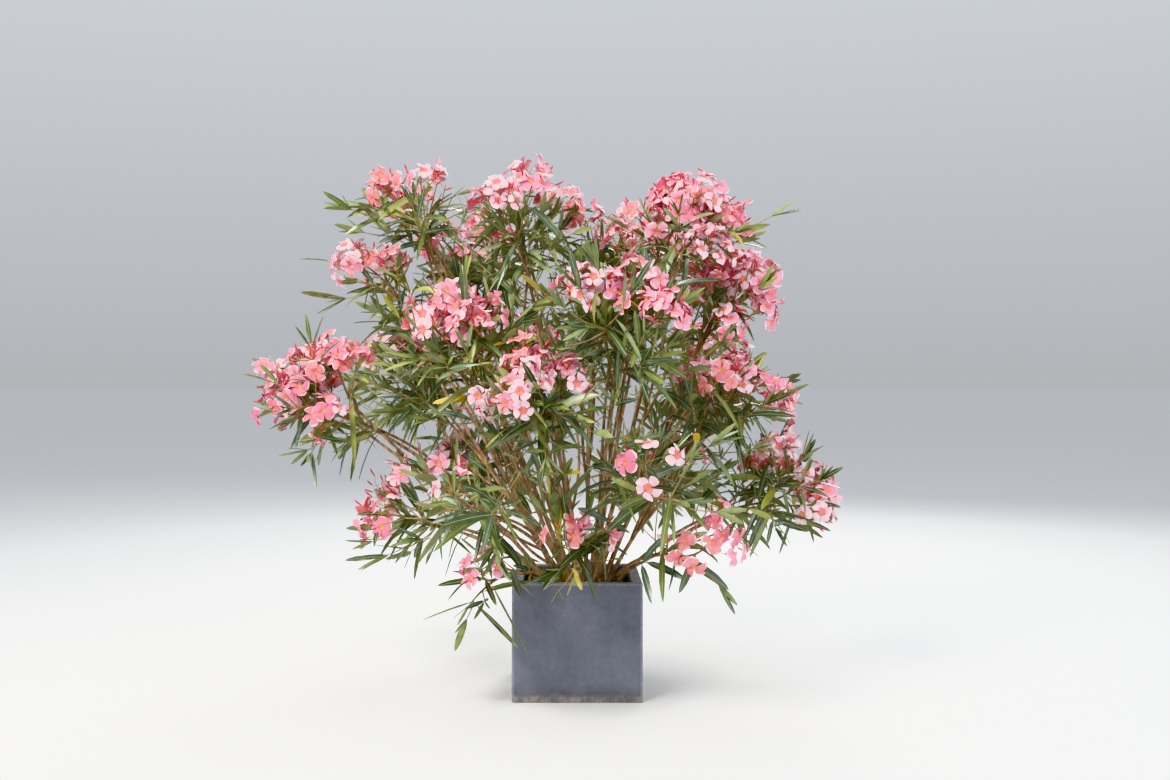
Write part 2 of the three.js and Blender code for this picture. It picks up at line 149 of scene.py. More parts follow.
# The stems' bark: how a stem wanders, its ridges round it and along it, and the scars of its whorls of leaves
BARK_SIDES = 12
BARK_STEP = 0.016
BARK_SUNK = 0.015
BARK_WANDER = 0.0035
BARK_WANDER_SCALE = (9, 9, 5)
BARK_WANDER_OTHER = Vector((7, 3, 5))
BARK_STEADY_STEPS = 6
BARK_RIDGE = 0.07
BARK_RIDGE_ROUND = 1.6
BARK_RIDGE_ALONG = 22
BARK_RIDGE_SHIFT = 11
SCAR_HEIGHT = 0.1
SCAR_WHORL = 0.4
SCAR_FIRST = 0.035
SCAR_SPACING = (0.056, 0.084)
SCAR_SPACINGS = 5
SCAR_LENGTH = 0.006

# Twigs inside each mass's own space
SPACE_MARGIN = 0.003
FORK_FIRST = 0.3
FORK_LAST = 0.95
TWIG_CAP = 1.25
TWIG_RISE = 0.3
TWIG_SPREAD_LEAST = 0.85
TWIG_SHORTEST = 0.25
TWIG_SHORTEN = 0.9
TWIG_BOW = 0.35
TWIG_TESTS = 8
TWIG_CLEARANCE = 0.016
TWIG_RADII = (0.0042, 0.0024)
LEADER_ELBOW = 0.4

# Boughs that fork off a stem below its mass and run beside it to some of the twigs
BOUGHS = 3
BOUGH_FORK = (0.25, 0.65)
BOUGH_JOIN = 0.3
BOUGH_OPEN = 0.35
BOUGH_RADII = (0.0052, 0.0042)
BOUGH_CLEARANCE = 0.0072
BOUGH_TESTS = np.linspace(0.4, 0.9, 8)

# How finely limbs are drawn: the steps along one and the sides round it
BOUGH_MESH = (16, 8)
TWIG_MESH = (9, 6)
SHOOT_MESH = (6, 5)
STALK_MESH = (4, 4)
STICK_MESH = (4, 5)
MOSS_MESH = (3, 4)

# A stalk whose ends point this nearly the same way counts as straight
HINGE_LEAST = 1e-3

# Finer shoots on the leader and on the twigs: the low ones stand out wide, and the high ones rise
LEADER_SHOOTS = (0.0, 0.08, 0.16, 0.24, 0.32, 0.4, 0.5, 0.6, 0.72, 0.84)
TWIG_SHOOTS = (0.05, 0.2, 0.35, 0.5, 0.65, 0.8)
SHOOT_PLACE = 0.06
SHOOT_OPEN = (1.3, 0.6)
SHOOT_OPEN_WANDER = 0.25
SHOOT_LIFT = (0.25, 0.8)
SHOOT_ONWARD = 0.3
SHOOT_ELBOW = 0.45
SHOOT_LENGTH = (0.8, 1.45)
SHOOT_TAPER = 0.45
SHOOT_SHORTEST = 0.06
SHOOT_HIGH = 0.4
SHOOT_UNDER_FLOWER = 0.65
SHOOT_RADII = (0.0026, 0.0015)
SHOOT_TESTS = (0.3, 0.65, 1.0)
SHOOT_CLEARANCE = 0.006

# Leaves, in whorls of three
WHORL = 3
WHORL_SPACING = 0.046
LEAFY_LEADER = 0.15
LEAFY_TWIG = 0.2
LEAFY_SHOOT = 0.1
LEAFY_TIP = 0.95
LEAF_LOST = 0.37
LEAF_LENGTH = (0.095, 0.19)
LEAF_SHORTER_AT_TIP = 0.8
LEAF_ASPECT = (5.3, 9.3)
LEAF_TURN_WANDER = 0.25
LEAF_OPEN_LOW = 1.25
LEAF_OPEN_TIP = 0.45
LEAF_OPEN_POWER = 1.3
LEAF_OPEN_WANDER = 0.18
LEAF_SAG = (0.5, 0.08)
LEAF_SAG_WANDER = (0.5, 1.4)
LEAF_SAG_BACK = 0.25
LEAF_TWIST = 0.5
LEAF_OF_SHADE = 0.65
LEAF_RINGS = np.array([0.05, 0.2, 0.45, 0.74, 0.92])
LEAF_PROFILE = np.array([0.15, 0.74, 1.0, 0.88, 0.46])
LEAF_FOLD = 0.22
LEAF_RIB = 0.0008
LEAF_KEEL = 0.0011
LEAF_TESTS = (0.3, 0.65, 1.0)
LEAF_CLEARANCE = 0.004
LEAF_SLACK = 0.012
LEAF_OUTSIDE = 0.035
TUFT = 4
TUFT_LENGTH = 0.62
TUFT_OPEN = (0.15, 0.5)

# Masses whose hearts lie over the first height or under the others: how far leaves stand over a top one's
# heart and growth hangs under a low one's, and how much longer the lowest ones' leaves are
TOP_MASS = 1.2
TOP_LEAVES = 0.15
LOW_MASS = 0.85
SHOOT_HANG = 0.11
LEAF_HANG = 0.2
LOWEST_MASS = 0.55
LOWEST_LEAVES = 1.35

# Trusses of flowers and buds over a dome, on stalks that branch from hubs: full ones on twigs, and small ones
# on shoots. The leaves under them end at a share of the twig or shoot, and open that far there.
FULL_TRUSS = {"flowers": (6, 11), "radius": (0.058, 0.092), "leafy": 0.8, "leaf_open": 0.9}
SMALL_TRUSS = {"flowers": (2, 7), "radius": (0.048, 0.075), "leafy": 0.7, "leaf_open": 0.8}
FLOWERS_LEAST = 2
BUDS = (3, 8)
TRUSS_RISE = 0.35
TRUSS_CAP = 1.55
TRUSS_REACH = (0.55, 1.15)
TRUSS_CLEARANCE = 0.02
TRUSS_SLACK = 0.02
TRUSS_BACK = 0.035
TRUSS_BACK_ON_TOP = 0.012
HUBS = 4
HUB_OPEN = 0.75
HUB_REACH = 0.4
HUB_ELBOW = 0.2
HUB_RADII = (0.0016, 0.00128)
PEDICEL_ELBOW = 0.4
PEDICEL_RADII = (0.0009, 0.00081)
PETALS_OF_SHADE = 0.6

# Flowers and buds
FLOWER_SIZE = (0.84, 1.12)
FLOWER_WANDER = 0.35
FLOWER_RISE = 0.15
PETALS = 5
PETAL_ROWS = np.array([0.0, 0.25, 0.62, 0.9, 1.0])
PETAL_WIDTH = np.array([0.005, 0.0092, 0.0145, 0.0144, 0.009])
PETAL_HEIGHT = np.array([0.0, 0.0035, 0.0045, 0.003, 0.0015])
PETAL_TURN_WANDER = 0.12
PETAL_DROOP = (-0.015, 0.008)
PETAL_LONG = (0.88, 1.08)
PETAL_SKEW = 0.006
PETAL_TILT = (0.05, 0.5)
PETAL_CURL = (-0.35, 0.5)
PETAL_THICKNESS = 0.0007
PETAL_REACH = 0.033
PETAL_ROOT = 0.003
PETAL_TIP = 0.002
THROAT_RADIUS = 0.0068
TUBE_LENGTH = 0.02
TUBE_HEIGHTS = np.array([0.0, 0.4, 0.72, 1.0])
TUBE_RADII = np.array([0.0016, 0.0021, 0.0044, 0.0082])
TUBE_FOOT = 0.001
THROAT_DEPTH = 0.25
CALYX_HEIGHTS = np.array([0.0, 0.0042])
CALYX_RADII = np.array([0.0016, 0.0027])
CALYX_LENGTH = 0.006
CALYX_FOOT = 0.002
BUD_LENGTH = (0.024, 0.036)
BUD_HEIGHTS = np.array([0.0, 0.18, 0.5, 0.8])
BUD_RADII = np.array([0.0013, 0.0022, 0.0032, 0.0022])
BUD_TWIST = 1.2
BUD_UPRIGHT = 0.5

# The first mass's seed, and the number of triangles past which growth is closed as a piece
PLANT_SEED = 100
PIECE_FULL = 150000

# Finishes: the values of a noise that go with their two shades, and how detailed shades and reliefs are
SHADES_FROM = 0.38
SHADES_TO = 0.62
SHADES_DETAIL = 4
RELIEF_DETAIL = 3

# The floor and the sky round it, which is duller where it meets the floor
FLOOR_HALF = 60.0
FLOOR_COLOUR = (0.755, 0.755, 0.75)
SKY_LOW = (0.65, 0.67, 0.7)
SKY_HIGH = (0.86, 0.9, 0.96)
SKY_HIGH_FROM = 0.3
SKY_STRENGTH = 0.75

# The lamps, with their place, size, power and colour, and the point that they are aimed at
LAMPS = [
    ("key", (-2.4, -3.0, 4.2), 1.5, 290, (1.0, 0.97, 0.92)),
    ("fill", (3.4, -2.2, 2.2), 3.0, 60, (0.93, 0.96, 1.0)),
    ("back", (1.2, 3.6, 3.8), 2.0, 190, (1.0, 0.98, 0.94)),
]
LAMPS_AIM = Vector((0, 0, 0.9))

# Masses that are barer or fuller than the others: the shares of their shoots and of their leaves that they
# keep, their number of flowers against the others', and how many shoots of a twig in flower are in flower too
PLAIN_SHARES = (1, 1, 1, 2)
MASS_SHARES = {
    "front_base": (0.4, 0.75, 0.3, 2),
    "pot_left": (0.35, 0.6, 0.6, 2),
    "front_low_left": (0.4, 0.6, 0.3, 2),
    "front_low_right": (0.4, 0.6, 0.4, 2),
    "right_droop": (0.2, 0.45, 0.6, 2),
    "left_low": (0.5, 0.7, 0.5, 2),
    "far_left": (0.7, 0.6, 0.95, 5),
    "left_shoulder": (0.75, 0.75, 0.75, 2),
    "right_low": (0.7, 0.85, 0.7, 2),
    "right_side": (0.8, 0.85, 0.7, 2),
    "top_left": (0.75, 0.75, 0.65, 1),
    "top_middle": (0.95, 0.9, 0.7, 1),
    "top_centre": (1, 1, 0.5, 1),
    "top_right": (0.85, 0.75, 1.1, 8),
    "right_shoulder": (0.85, 0.65, 1.15, 8),
    "centre_left": (0.9, 0.9, 1, 2),
    "centre_right": (0.9, 0.9, 1.1, 2),
    "centre_front": (0.85, 0.9, 0.9, 2),
}

# The leaf shades, from the first on, that a shoot takes its own from, fewer in masses whose heart lies low:
# there only the darker ones, as painted shade under the crown
SHOOT_SHADES = 5
LOW_SHADES_AS_PAINTED_SHADE = 3

# One row for each limb with its mass: where the mass's heart lies from the clump (azimuth, 0 for +X and 90
# for +Y, elevation and reach), how far its twigs spread from there, how many twigs and trusses it has, and
# how far round the first twig is turned. Angles are in degrees.
MASSES = [
    ("top_left", 175, 65, 1.34, 0.19, 5, 3, 10),
    ("top_middle", -153, 79, 1.185, 0.2, 5, 4, 165),
    ("top_right", -18, 74, 1.175, 0.205, 5, 3, 325),
    ("right_shoulder", 2, 64, 1.035, 0.195, 5, 4, 220),
    ("left_shoulder", 177, 57, 1.18, 0.175, 4, 3, 25),
    ("centre_right", -76, 62, 0.935, 0.215, 5, 3, 235),
    ("centre_front", -106, 49, 0.78, 0.215, 5, 4, 310),
    ("centre_left", -135, 55, 0.905, 0.205, 5, 3, 15),
    ("far_left", -174, 36, 1.03, 0.21, 5, 4, 260),
    ("right_side", -19, 52, 0.735, 0.2, 5, 4, 140),
    ("right_low", 0, 25, 0.685, 0.195, 5, 4, 225),
    ("front_low_left", -121, 27, 0.675, 0.21, 5, 2, 95),
    ("front_low_right", -73, 36, 0.625, 0.21, 5, 1, 90),
    ("left_low", -166, 24, 0.585, 0.2, 5, 4, 305),
    ("right_droop", -51, 19, 0.49, 0.17, 4, 2, 95),
    ("pot_left", -140, 10, 0.38, 0.12, 3, 1, 135),
    ("front_base", -96, 27, 0.365, 0.15, 4, 2, 50),
    ("back_top_left", 136, 62, 1.18, 0.21, 5, 3, 40),
    ("back_top_right", 59, 66, 1.15, 0.21, 5, 3, 200),
    ("back_left", 145, 41, 0.98, 0.215, 5, 2, 120),
    ("back_middle", 102, 50, 0.92, 0.215, 4, 2, 300),
    ("back_right", 46, 46, 0.89, 0.215, 5, 2, 20),
    ("back_low_left", 126, 28, 0.68, 0.205, 4, 1, 80),
    ("back_low_right", 62, 28, 0.66, 0.205, 4, 1, 160),
    ("top_centre", 76, 82, 1.095, 0.175, 5, 2, 60),
]

# The series of numbers that the source's twigs are drawn from
SERIES_SCATTER = 2654435761
SERIES_START = 12345
SERIES_FACTOR = 1664525
SERIES_STEP = 1013904223
SERIES_RANGE = 2**32


class Series:
    """A repeatable series of numbers from 0 to 1 for each seed, the same as in the part's source."""

    def __init__(self, seed):
        self.state = ((seed + 1) * SERIES_SCATTER + SERIES_START) % SERIES_RANGE
        self.draw()
        self.draw()

    def draw(self):
        self.state = (self.state * SERIES_FACTOR + SERIES_STEP) % SERIES_RANGE
        return self.state / SERIES_RANGE


def lerp(low, high, share):
    return low + (high - low) * share


def unit(vectors):
    return vectors / np.linalg.norm(vectors, axis=-1, keepdims=True)


def sides_of(axes):
    """Two directions square to each axis and to each other, the second a quarter turn on from the first."""
    side = unit(np.cross(axes, ASKEW))
    return side, np.cross(axes, side)


def spun(side, other, angles):
    """The directions at these angles from one side towards the other."""
    angles = np.asarray(angles)[..., None]
    return side * np.cos(angles) + other * np.sin(angles)


def turned_from(axes, opening, turn):
    """Directions at an angle to axes, turned about them."""
    opening = np.asarray(opening)[..., None]
    return np.cos(opening) * axes + np.sin(opening) * spun(*sides_of(axes), turn)


def waves(point, scales):
    """Noise at a point, the sum of waves that each have a scale and a strength."""
    return sum(strength * noise.noise(Vector(point * scale)) for scale, strength in scales)


class Arc:
    """A curve that leaves its start towards an elbow, and comes to its end from there, or many in rows."""

    def __init__(self, start, elbow, end):
        self.start, self.elbow, self.end = start, elbow, end

    @property
    def length(self):
        """About its length, which lies between its chord and its two straight sides."""
        sides = np.linalg.norm(self.elbow - self.start) + np.linalg.norm(self.end - self.elbow)
        return (np.linalg.norm(self.end - self.start) + sides) / 2

    def point(self, share):
        share = np.asarray(share)[..., None]
        before = (1 - share) ** 2 * self.start + 2 * share * (1 - share) * self.elbow
        return before + share**2 * self.end

    def tangent(self, share):
        share = np.asarray(share)[..., None]
        return unit((1 - share) * (self.elbow - self.start) + share * (self.end - self.elbow))

    def rest_from(self, share):
        """The stretch of the arc from a share to its end."""
        return Arc(self.point(share), lerp(self.elbow, self.end, share), self.end)


class Stalk:
    """Arcs that follow each other, with a place on them given as a share of their whole length."""

    def __init__(self, arcs):
        self.arcs = arcs
        lengths = np.array([arc.length for arc in arcs])
        self.length = lengths.sum()
        self.ends = np.cumsum(lengths) / self.length

    def places(self, shares):
        """The arc that each share lies on, and the share of that arc."""
        shares = np.atleast_1d(shares)
        which = np.minimum(np.searchsorted(self.ends, shares), len(self.arcs) - 1)
        starts = np.concatenate([[0], self.ends])[which]
        inner = np.clip((shares - starts) / (self.ends[which] - starts), 0, 1)
        return [(self.arcs[arc], share) for arc, share in zip(which, inner)]

    def points(self, shares):
        return np.array([arc.point(share) for arc, share in self.places(shares)])

    def tangents(self, shares):
        return np.array([arc.tangent(share) for arc, share in self.places(shares)])


class Mass:
    """One limb with its mass of twigs, leaves and blossom."""

    def __init__(self, number, name, azimuth, elevation, reach, spread, twigs, trusses, turn):
        self.number, self.name = number, name
        self.reach, self.spread, self.twigs, self.trusses = reach, spread, twigs, trusses
        self.turn = math.radians(turn)
        self.bushy, self.leafy, self.flowery, self.shoots_in_flower = MASS_SHARES.get(name, PLAIN_SHARES)
        way, rise = math.radians(azimuth), math.radians(elevation)
        flat = np.array([math.cos(way), math.sin(way), 0.0])
        self.heart = CLUMP + reach * (math.cos(rise) * flat + math.sin(rise) * UPWARD)
        # Low masses keep to the darker leaf shades, as painted shade under the crown
        self.shades = LOW_SHADES_AS_PAINTED_SHADE if self.heart[2] < LOW_MASS else SHOOT_SHADES
        self.leaf_size = LOWEST_LEAVES if self.heart[2] < LOWEST_MASS else 1
        self.foot = CLUMP + CLUMP_RADIUS * math.cos(rise) * flat


def place_masses():
    """The masses, their limbs' feet pushed apart until each has room, and the planes between their spaces."""
    masses = [Mass(number, *row) for number, row in enumerate(MASSES)]
    for _ in range(FOOT_PASSES):
        for one in masses:
            for other in masses[one.number + 1 :]:
                apart = other.foot - one.foot
                short = FOOT_SPACING - np.linalg.norm(apart)
                if short > 0:
                    push = unit(apart) * short / 2
                    one.foot = one.foot - push
                    other.foot = other.foot + push
    hearts = np.array([mass.heart for mass in masses])
    for mass in masses:
        towards = np.delete(hearts, mass.number, axis=0) - mass.heart
        spans = np.linalg.norm(towards, axis=1)
        mass.planes = towards / spans[:, None]
        mass.limits = mass.planes @ mass.heart + spans / 2 - SPACE_MARGIN
    return masses


def are_own(points, mass, slack=0.0):
    """Whether points lie on the mass's side of the planes midway to the other masses' hearts."""
    return np.all(points @ mass.planes.T < mass.limits + slack, axis=-1)


def stem_radius(mass, share):
    flare = 1 + STEM_FLARE * np.maximum(0, 1 - share / STEM_FLARE_SHARE)
    foot = STEM_RADIUS_FOOT + STEM_RADIUS_PER_REACH * mass.reach
    return lerp(foot, STEM_RADIUS_TIP, share) * flare


def grow_limbs(masses):
    """Each limb as one arching curve, with the share of it that is bare stem."""
    for mass in masses:
        reach = mass.heart - mass.foot
        mass.outward = unit(reach)
        bend = unit(mass.outward + LIMB_LIFT * (1 - mass.outward[2]) * UPWARD)
        elbow = mass.foot + bend * np.linalg.norm(reach) / 2
        mass.limb = Arc(mass.foot, elbow, mass.heart)
        mass.stem_share = STEM_MOST
        while mass.stem_share > STEM_LEAST:
            lower = mass.stem_share - STEM_SEARCH
            if not are_own(mass.limb.point(lower), mass):
                break
            mass.stem_share = lower


class StemField:
    """All stems as short straight lengths, to measure how far points are from them."""

    def __init__(self, masses):
        shares = np.linspace(0, 1, STEM_TESTS + 1)
        lines = [mass.limb.point(mass.stem_share * shares) for mass in masses]
        self.starts = np.concatenate([line[:-1] for line in lines])
        self.spans = np.concatenate([np.diff(line, axis=0) for line in lines])
        self.radii = np.concatenate([stem_radius(mass, shares[:-1]) for mass in masses])

    def gaps(self, points):
        offsets = points[..., None, :] - self.starts
        shares = np.clip((offsets * self.spans).sum(-1) / (self.spans**2).sum(-1), 0, 1)
        nearest = np.linalg.norm(offsets - shares[..., None] * self.spans, axis=-1)
        return (nearest - self.radii).min(-1)


def are_clear(points, clearance):
    """Whether points are clear of the pot, the ground and every stem."""
    over_pot = np.all(np.abs(points[..., :2]) < POT_HALF + clearance / 2, axis=-1)
    floor = np.where(over_pot, POT_TOP + clearance / 2, clearance)
    return (points[..., 2] >= floor) & (stem_field.gaps(points) > clearance)


def are_free(points, mass, clearance, slack=0.0):
    """Whether points are the mass's own, and clear."""
    return are_own(points, mass, slack) & are_clear(points, clearance)


def are_in_reach(points, mass, hang):
    """Whether points leave the crown's top to the trusses, and under a low mass hang no further than this."""
    over = points[..., 2] - mass.heart[2]
    return ((over < TOP_LEAVES) | (mass.heart[2] < TOP_MASS)) & ((over > -hang) | (mass.heart[2] > LOW_MASS))


def twig_ends(mass, series):
    """The ends that a mass's twigs grow to, spread evenly over the outer side of a ball round its heart."""
    pole = unit(mass.outward + TWIG_RISE * UPWARD)
    ends = []
    for i in range(mass.twigs):
        opening = math.acos(1 - ((i + 0.5) / mass.twigs) * (1 - math.cos(TWIG_CAP)))
        way = turned_from(pole, opening, mass.turn + i * GOLDEN_ANGLE)
        reach = mass.spread * lerp(TWIG_SPREAD_LEAST, 1, series.draw())
        shortest = mass.spread * TWIG_SHORTEST
        while reach > shortest and not are_free(mass.heart + way * reach, mass, TWIG_CLEARANCE):
            reach *= TWIG_SHORTEN
        ends.append(mass.heart + way * reach)
    return ends


def grow_twigs(mass):
    """A mass's leader and side twigs. The leader carries the stem on past the heart to the first end."""
    ends = twig_ends(mass, Series(mass.number))
    onward = mass.limb.rest_from(mass.stem_share)
    reach = np.linalg.norm(ends[0] - mass.heart)
    tip = Arc(mass.heart, mass.heart + onward.tangent(1.0) * reach * LEADER_ELBOW, ends[0])
    leader = Stalk([onward, tip])
    twigs = [leader]
    for number, end in enumerate(ends[1:]):
        foot = onward.point(lerp(FORK_FIRST, FORK_LAST, number / (mass.twigs - 2)))
        reach = end - foot
        bend = unit(lerp(unit(reach), onward.tangent(0.5), TWIG_BOW))
        arc = Arc(foot, foot + bend * np.linalg.norm(reach) / 2, end)
        tests = np.linspace(0, 1, TWIG_TESTS + 1)[1:]
        if np.all(are_free(arc.point(tests), mass, TWIG_CLEARANCE)):
            twigs.append(Stalk([arc]))
    return twigs


def grow_boughs(mass, twigs, random):
    """Boughs that leave the stem below the mass and join some of its side twigs, clear of the other stems."""
    boughs = []
    for twig in twigs[1 : 1 + BOUGHS]:
        place = mass.stem_share * random.uniform(*BOUGH_FORK)
        foot = mass.limb.point(place)
        end = twig.points(BOUGH_JOIN)[0]
        half = np.linalg.norm(end - foot) / 2
        aside = turned_from(mass.limb.tangent(place), BOUGH_OPEN, random.uniform(0, TURN))
        elbow = lerp(foot + aside * half, end - twig.tangents(BOUGH_JOIN)[0] * half, 0.5)
        arc = Arc(foot, elbow, end)
        if np.all(stem_field.gaps(arc.point(BOUGH_TESTS)) > BOUGH_CLEARANCE):
            boughs.append(arc)
    return boughs


def grow_shoots(twig, mass, in_flower, random):
    """The finer shoots of a twig, shortened until they stay in the mass's own space."""
    shoots = []
    first = random.uniform(0, TURN)
    shares = LEADER_SHOOTS if len(twig.arcs) > 1 else TWIG_SHOOTS
    for i, share in enumerate(shares):
        place = share + random.uniform(0, SHOOT_PLACE)
        root = twig.points(place)[0]
        tangent = twig.tangents(place)[0]
        opening = lerp(*SHOOT_OPEN, share) + random.uniform(-SHOOT_OPEN_WANDER, SHOOT_OPEN_WANDER)
        way = turned_from(tangent, opening, first + i * GOLDEN_ANGLE)
        onward = unit(way + lerp(*SHOOT_LIFT, share) * UPWARD + SHOOT_ONWARD * tangent)
        length = mass.spread * random.uniform(*SHOOT_LENGTH) * (1 - SHOOT_TAPER * share)
        if in_flower and share > SHOOT_HIGH:
            length *= SHOOT_UNDER_FLOWER
        while length > SHOOT_SHORTEST:
            elbow = root + way * length * SHOOT_ELBOW
            arc = Arc(root, elbow, elbow + onward * length * (1 - SHOOT_ELBOW))
            points = arc.point(SHOOT_TESTS)
            free = are_free(points, mass, SHOOT_CLEARANCE, LEAF_SLACK)
            if np.all(free & are_in_reach(points, mass, SHOOT_HANG)):
                shoots.append(Stalk([arc]))
                break
            length *= TWIG_SHORTEN
    return shoots


# Leaf colours, dealt out by shoot: the upper side's colours, and which under side goes with each
LEAF_TOPS = [
    ("leaf_dark", (0.038, 0.062, 0.02), (0.065, 0.1, 0.033)),
    ("leaf_blue", (0.066, 0.105, 0.066), (0.105, 0.155, 0.098)),
    ("leaf_mid", (0.12, 0.155, 0.035), (0.17, 0.21, 0.052)),
    ("leaf_grey", (0.19, 0.235, 0.115), (0.26, 0.31, 0.165)),
    ("leaf_light", (0.27, 0.3, 0.08), (0.35, 0.38, 0.12)),
    ("leaf_lime", (0.36, 0.36, 0.04), (0.42, 0.42, 0.06)),
    ("leaf_yellow", (0.7, 0.45, 0.02), (0.78, 0.56, 0.06)),
]
LEAF_UNDERS = [
    ("leaf_under", (0.2, 0.245, 0.1), (0.28, 0.32, 0.14)),
    ("leaf_under_yellow", (0.5, 0.42, 0.1), (0.55, 0.48, 0.15)),
]
LEAF_UNDER_OF = np.array([0, 0, 0, 0, 0, 1, 1])
LEAF_SHARES = np.array([0.25, 0.24, 0.2, 0.14, 0.11, 0.035, 0.025])


def add_leaves(leaves, stalk, mass, low, high, open_tip, random):
    """Whorls of leaves along a stalk from a low to a high share, shorter and more upright towards its tip."""
    whorls = max(2, round((high - low) * stalk.length / WHORL_SPACING))
    shares = np.repeat(np.linspace(low, high, whorls), WHORL)
    count = len(shares)
    turns = random.uniform(0, TURN) + np.repeat(np.arange(whorls), WHORL) * math.pi / WHORL
    turns += np.tile(np.arange(WHORL), whorls) * TURN / WHORL
    turns += random.uniform(-LEAF_TURN_WANDER, LEAF_TURN_WANDER, count)
    progress = (shares - low) / (high - low)
    opening = lerp(LEAF_OPEN_LOW, open_tip, progress**LEAF_OPEN_POWER)
    opening += random.uniform(-LEAF_OPEN_WANDER, LEAF_OPEN_WANDER, count)
    axes = stalk.tangents(shares)
    way = turned_from(axes, opening, turns)
    length = random.uniform(*LEAF_LENGTH, count) * lerp(1, LEAF_SHORTER_AT_TIP, progress) * mass.leaf_size
    keep = random.uniform(size=count) > LEAF_LOST
    add_rows(leaves, stalk.points(shares), way, axes, length, lerp(*LEAF_SAG, progress), keep, mass, random)


def add_tuft(leaves, stalk, mass, random):
    """The young leaves that close a shoot's tip."""
    axes = np.repeat(stalk.tangents(1.0), TUFT, axis=0)
    turns = random.uniform(0, TURN) + np.arange(TUFT) * GOLDEN_ANGLE
    way = turned_from(axes, random.uniform(*TUFT_OPEN, TUFT), turns)
    length = random.uniform(*LEAF_LENGTH, TUFT) * TUFT_LENGTH
    roots = np.repeat(stalk.points(1.0), TUFT, axis=0)
    add_rows(leaves, roots, way, axes, length, np.zeros(TUFT), np.ones(TUFT, bool), mass, random)


def add_rows(leaves, root, way, axes, length, sag, keep, mass, random):
    """Adds one stalk's leaves, most of them of one shade, and only those that it keeps."""
    count = len(length)
    shade = random.integers(mass.shades)
    others = random.choice(len(LEAF_TOPS), size=count, p=LEAF_SHARES)
    rows = {
        "root": root,
        "way": unit(way),
        "top": axes,
        "length": length,
        "paint": np.where(random.uniform(size=count) < LEAF_OF_SHADE, shade, others),
        "width": length / random.uniform(*LEAF_ASPECT, count),
        "sag": sag * random.uniform(*LEAF_SAG_WANDER, count),
        "twist": random.uniform(-LEAF_TWIST, LEAF_TWIST, count),
    }
    leaves.append({name: values[keep] for name, values in rows.items()})


def leaf_lines(rows, shares):
    """The points along each leaf's midrib, and there its directions across and to its upper side."""
    shares = np.asarray(shares)
    way = rows["way"][:, None]
    across = unit(np.cross(way, rows["top"][:, None]))
    bend = -lerp(UPWARD, np.cross(across, way), LEAF_SAG_BACK) * rows["sag"][:, None, None]
    along = shares[:, None]
    points = rows["root"][:, None] + rows["length"][:, None, None] * (way * along + bend * along**2)
    onward = unit(way + 2 * bend * along)
    level = unit(across - onward * (across * onward).sum(-1, keepdims=True))
    upper = np.cross(level, onward)
    twist = rows["twist"][:, None] * shares
    return points, spun(level, upper, twist), spun(upper, -level, twist)


def leaf_ends(rows):
    """Where leaves start, and where they end."""
    return np.moveaxis(leaf_lines(rows, (0, 1))[0], 1, 0)


def free_leaves(leaves, mass, random):
    """The leaves that stay in their mass's space and in the plant's, and clear of stems, pot and ground."""
    rows = {name: np.concatenate([some[name] for some in leaves]) for name in leaves[0]}
    points = leaf_lines(rows, LEAF_TESTS)[0]
    inside = (points > box_low - LEAF_OUTSIDE) & (points < box_high + LEAF_OUTSIDE)
    free = are_free(points, mass, LEAF_CLEARANCE, LEAF_SLACK) & are_in_reach(points, mass, LEAF_HANG)
    keep = (free & inside.all(-1)).all(1) & (random.uniform(size=len(free)) < mass.leafy)
    return {name: values[keep] for name, values in rows.items()}


class Kind:
    """Growth of one kind, gathered mass by mass and closed as a piece each time that enough has come."""

    def __init__(self, name, slot, materials, sharp_degrees):
        self.name, self.slot, self.materials, self.sharp_degrees = name, slot, materials, sharp_degrees
        self.heap, self.nodes, self.number = Heap(), [], 0

    def end_mass(self, *nodes):
        self.nodes += nodes
        if self.heap.triangles > PIECE_FULL:
            self.close()

    def close(self):
        if not self.heap.count:
            return
        self.number += 1
        print("piece", self.name, self.number, "triangles", self.heap.triangles)
        piece = self.heap.build(f"{self.name}_{self.number}", self.materials, self.sharp_degrees)
        settle(piece, self.slot, *self.nodes)
        self.heap, self.nodes = Heap(), []


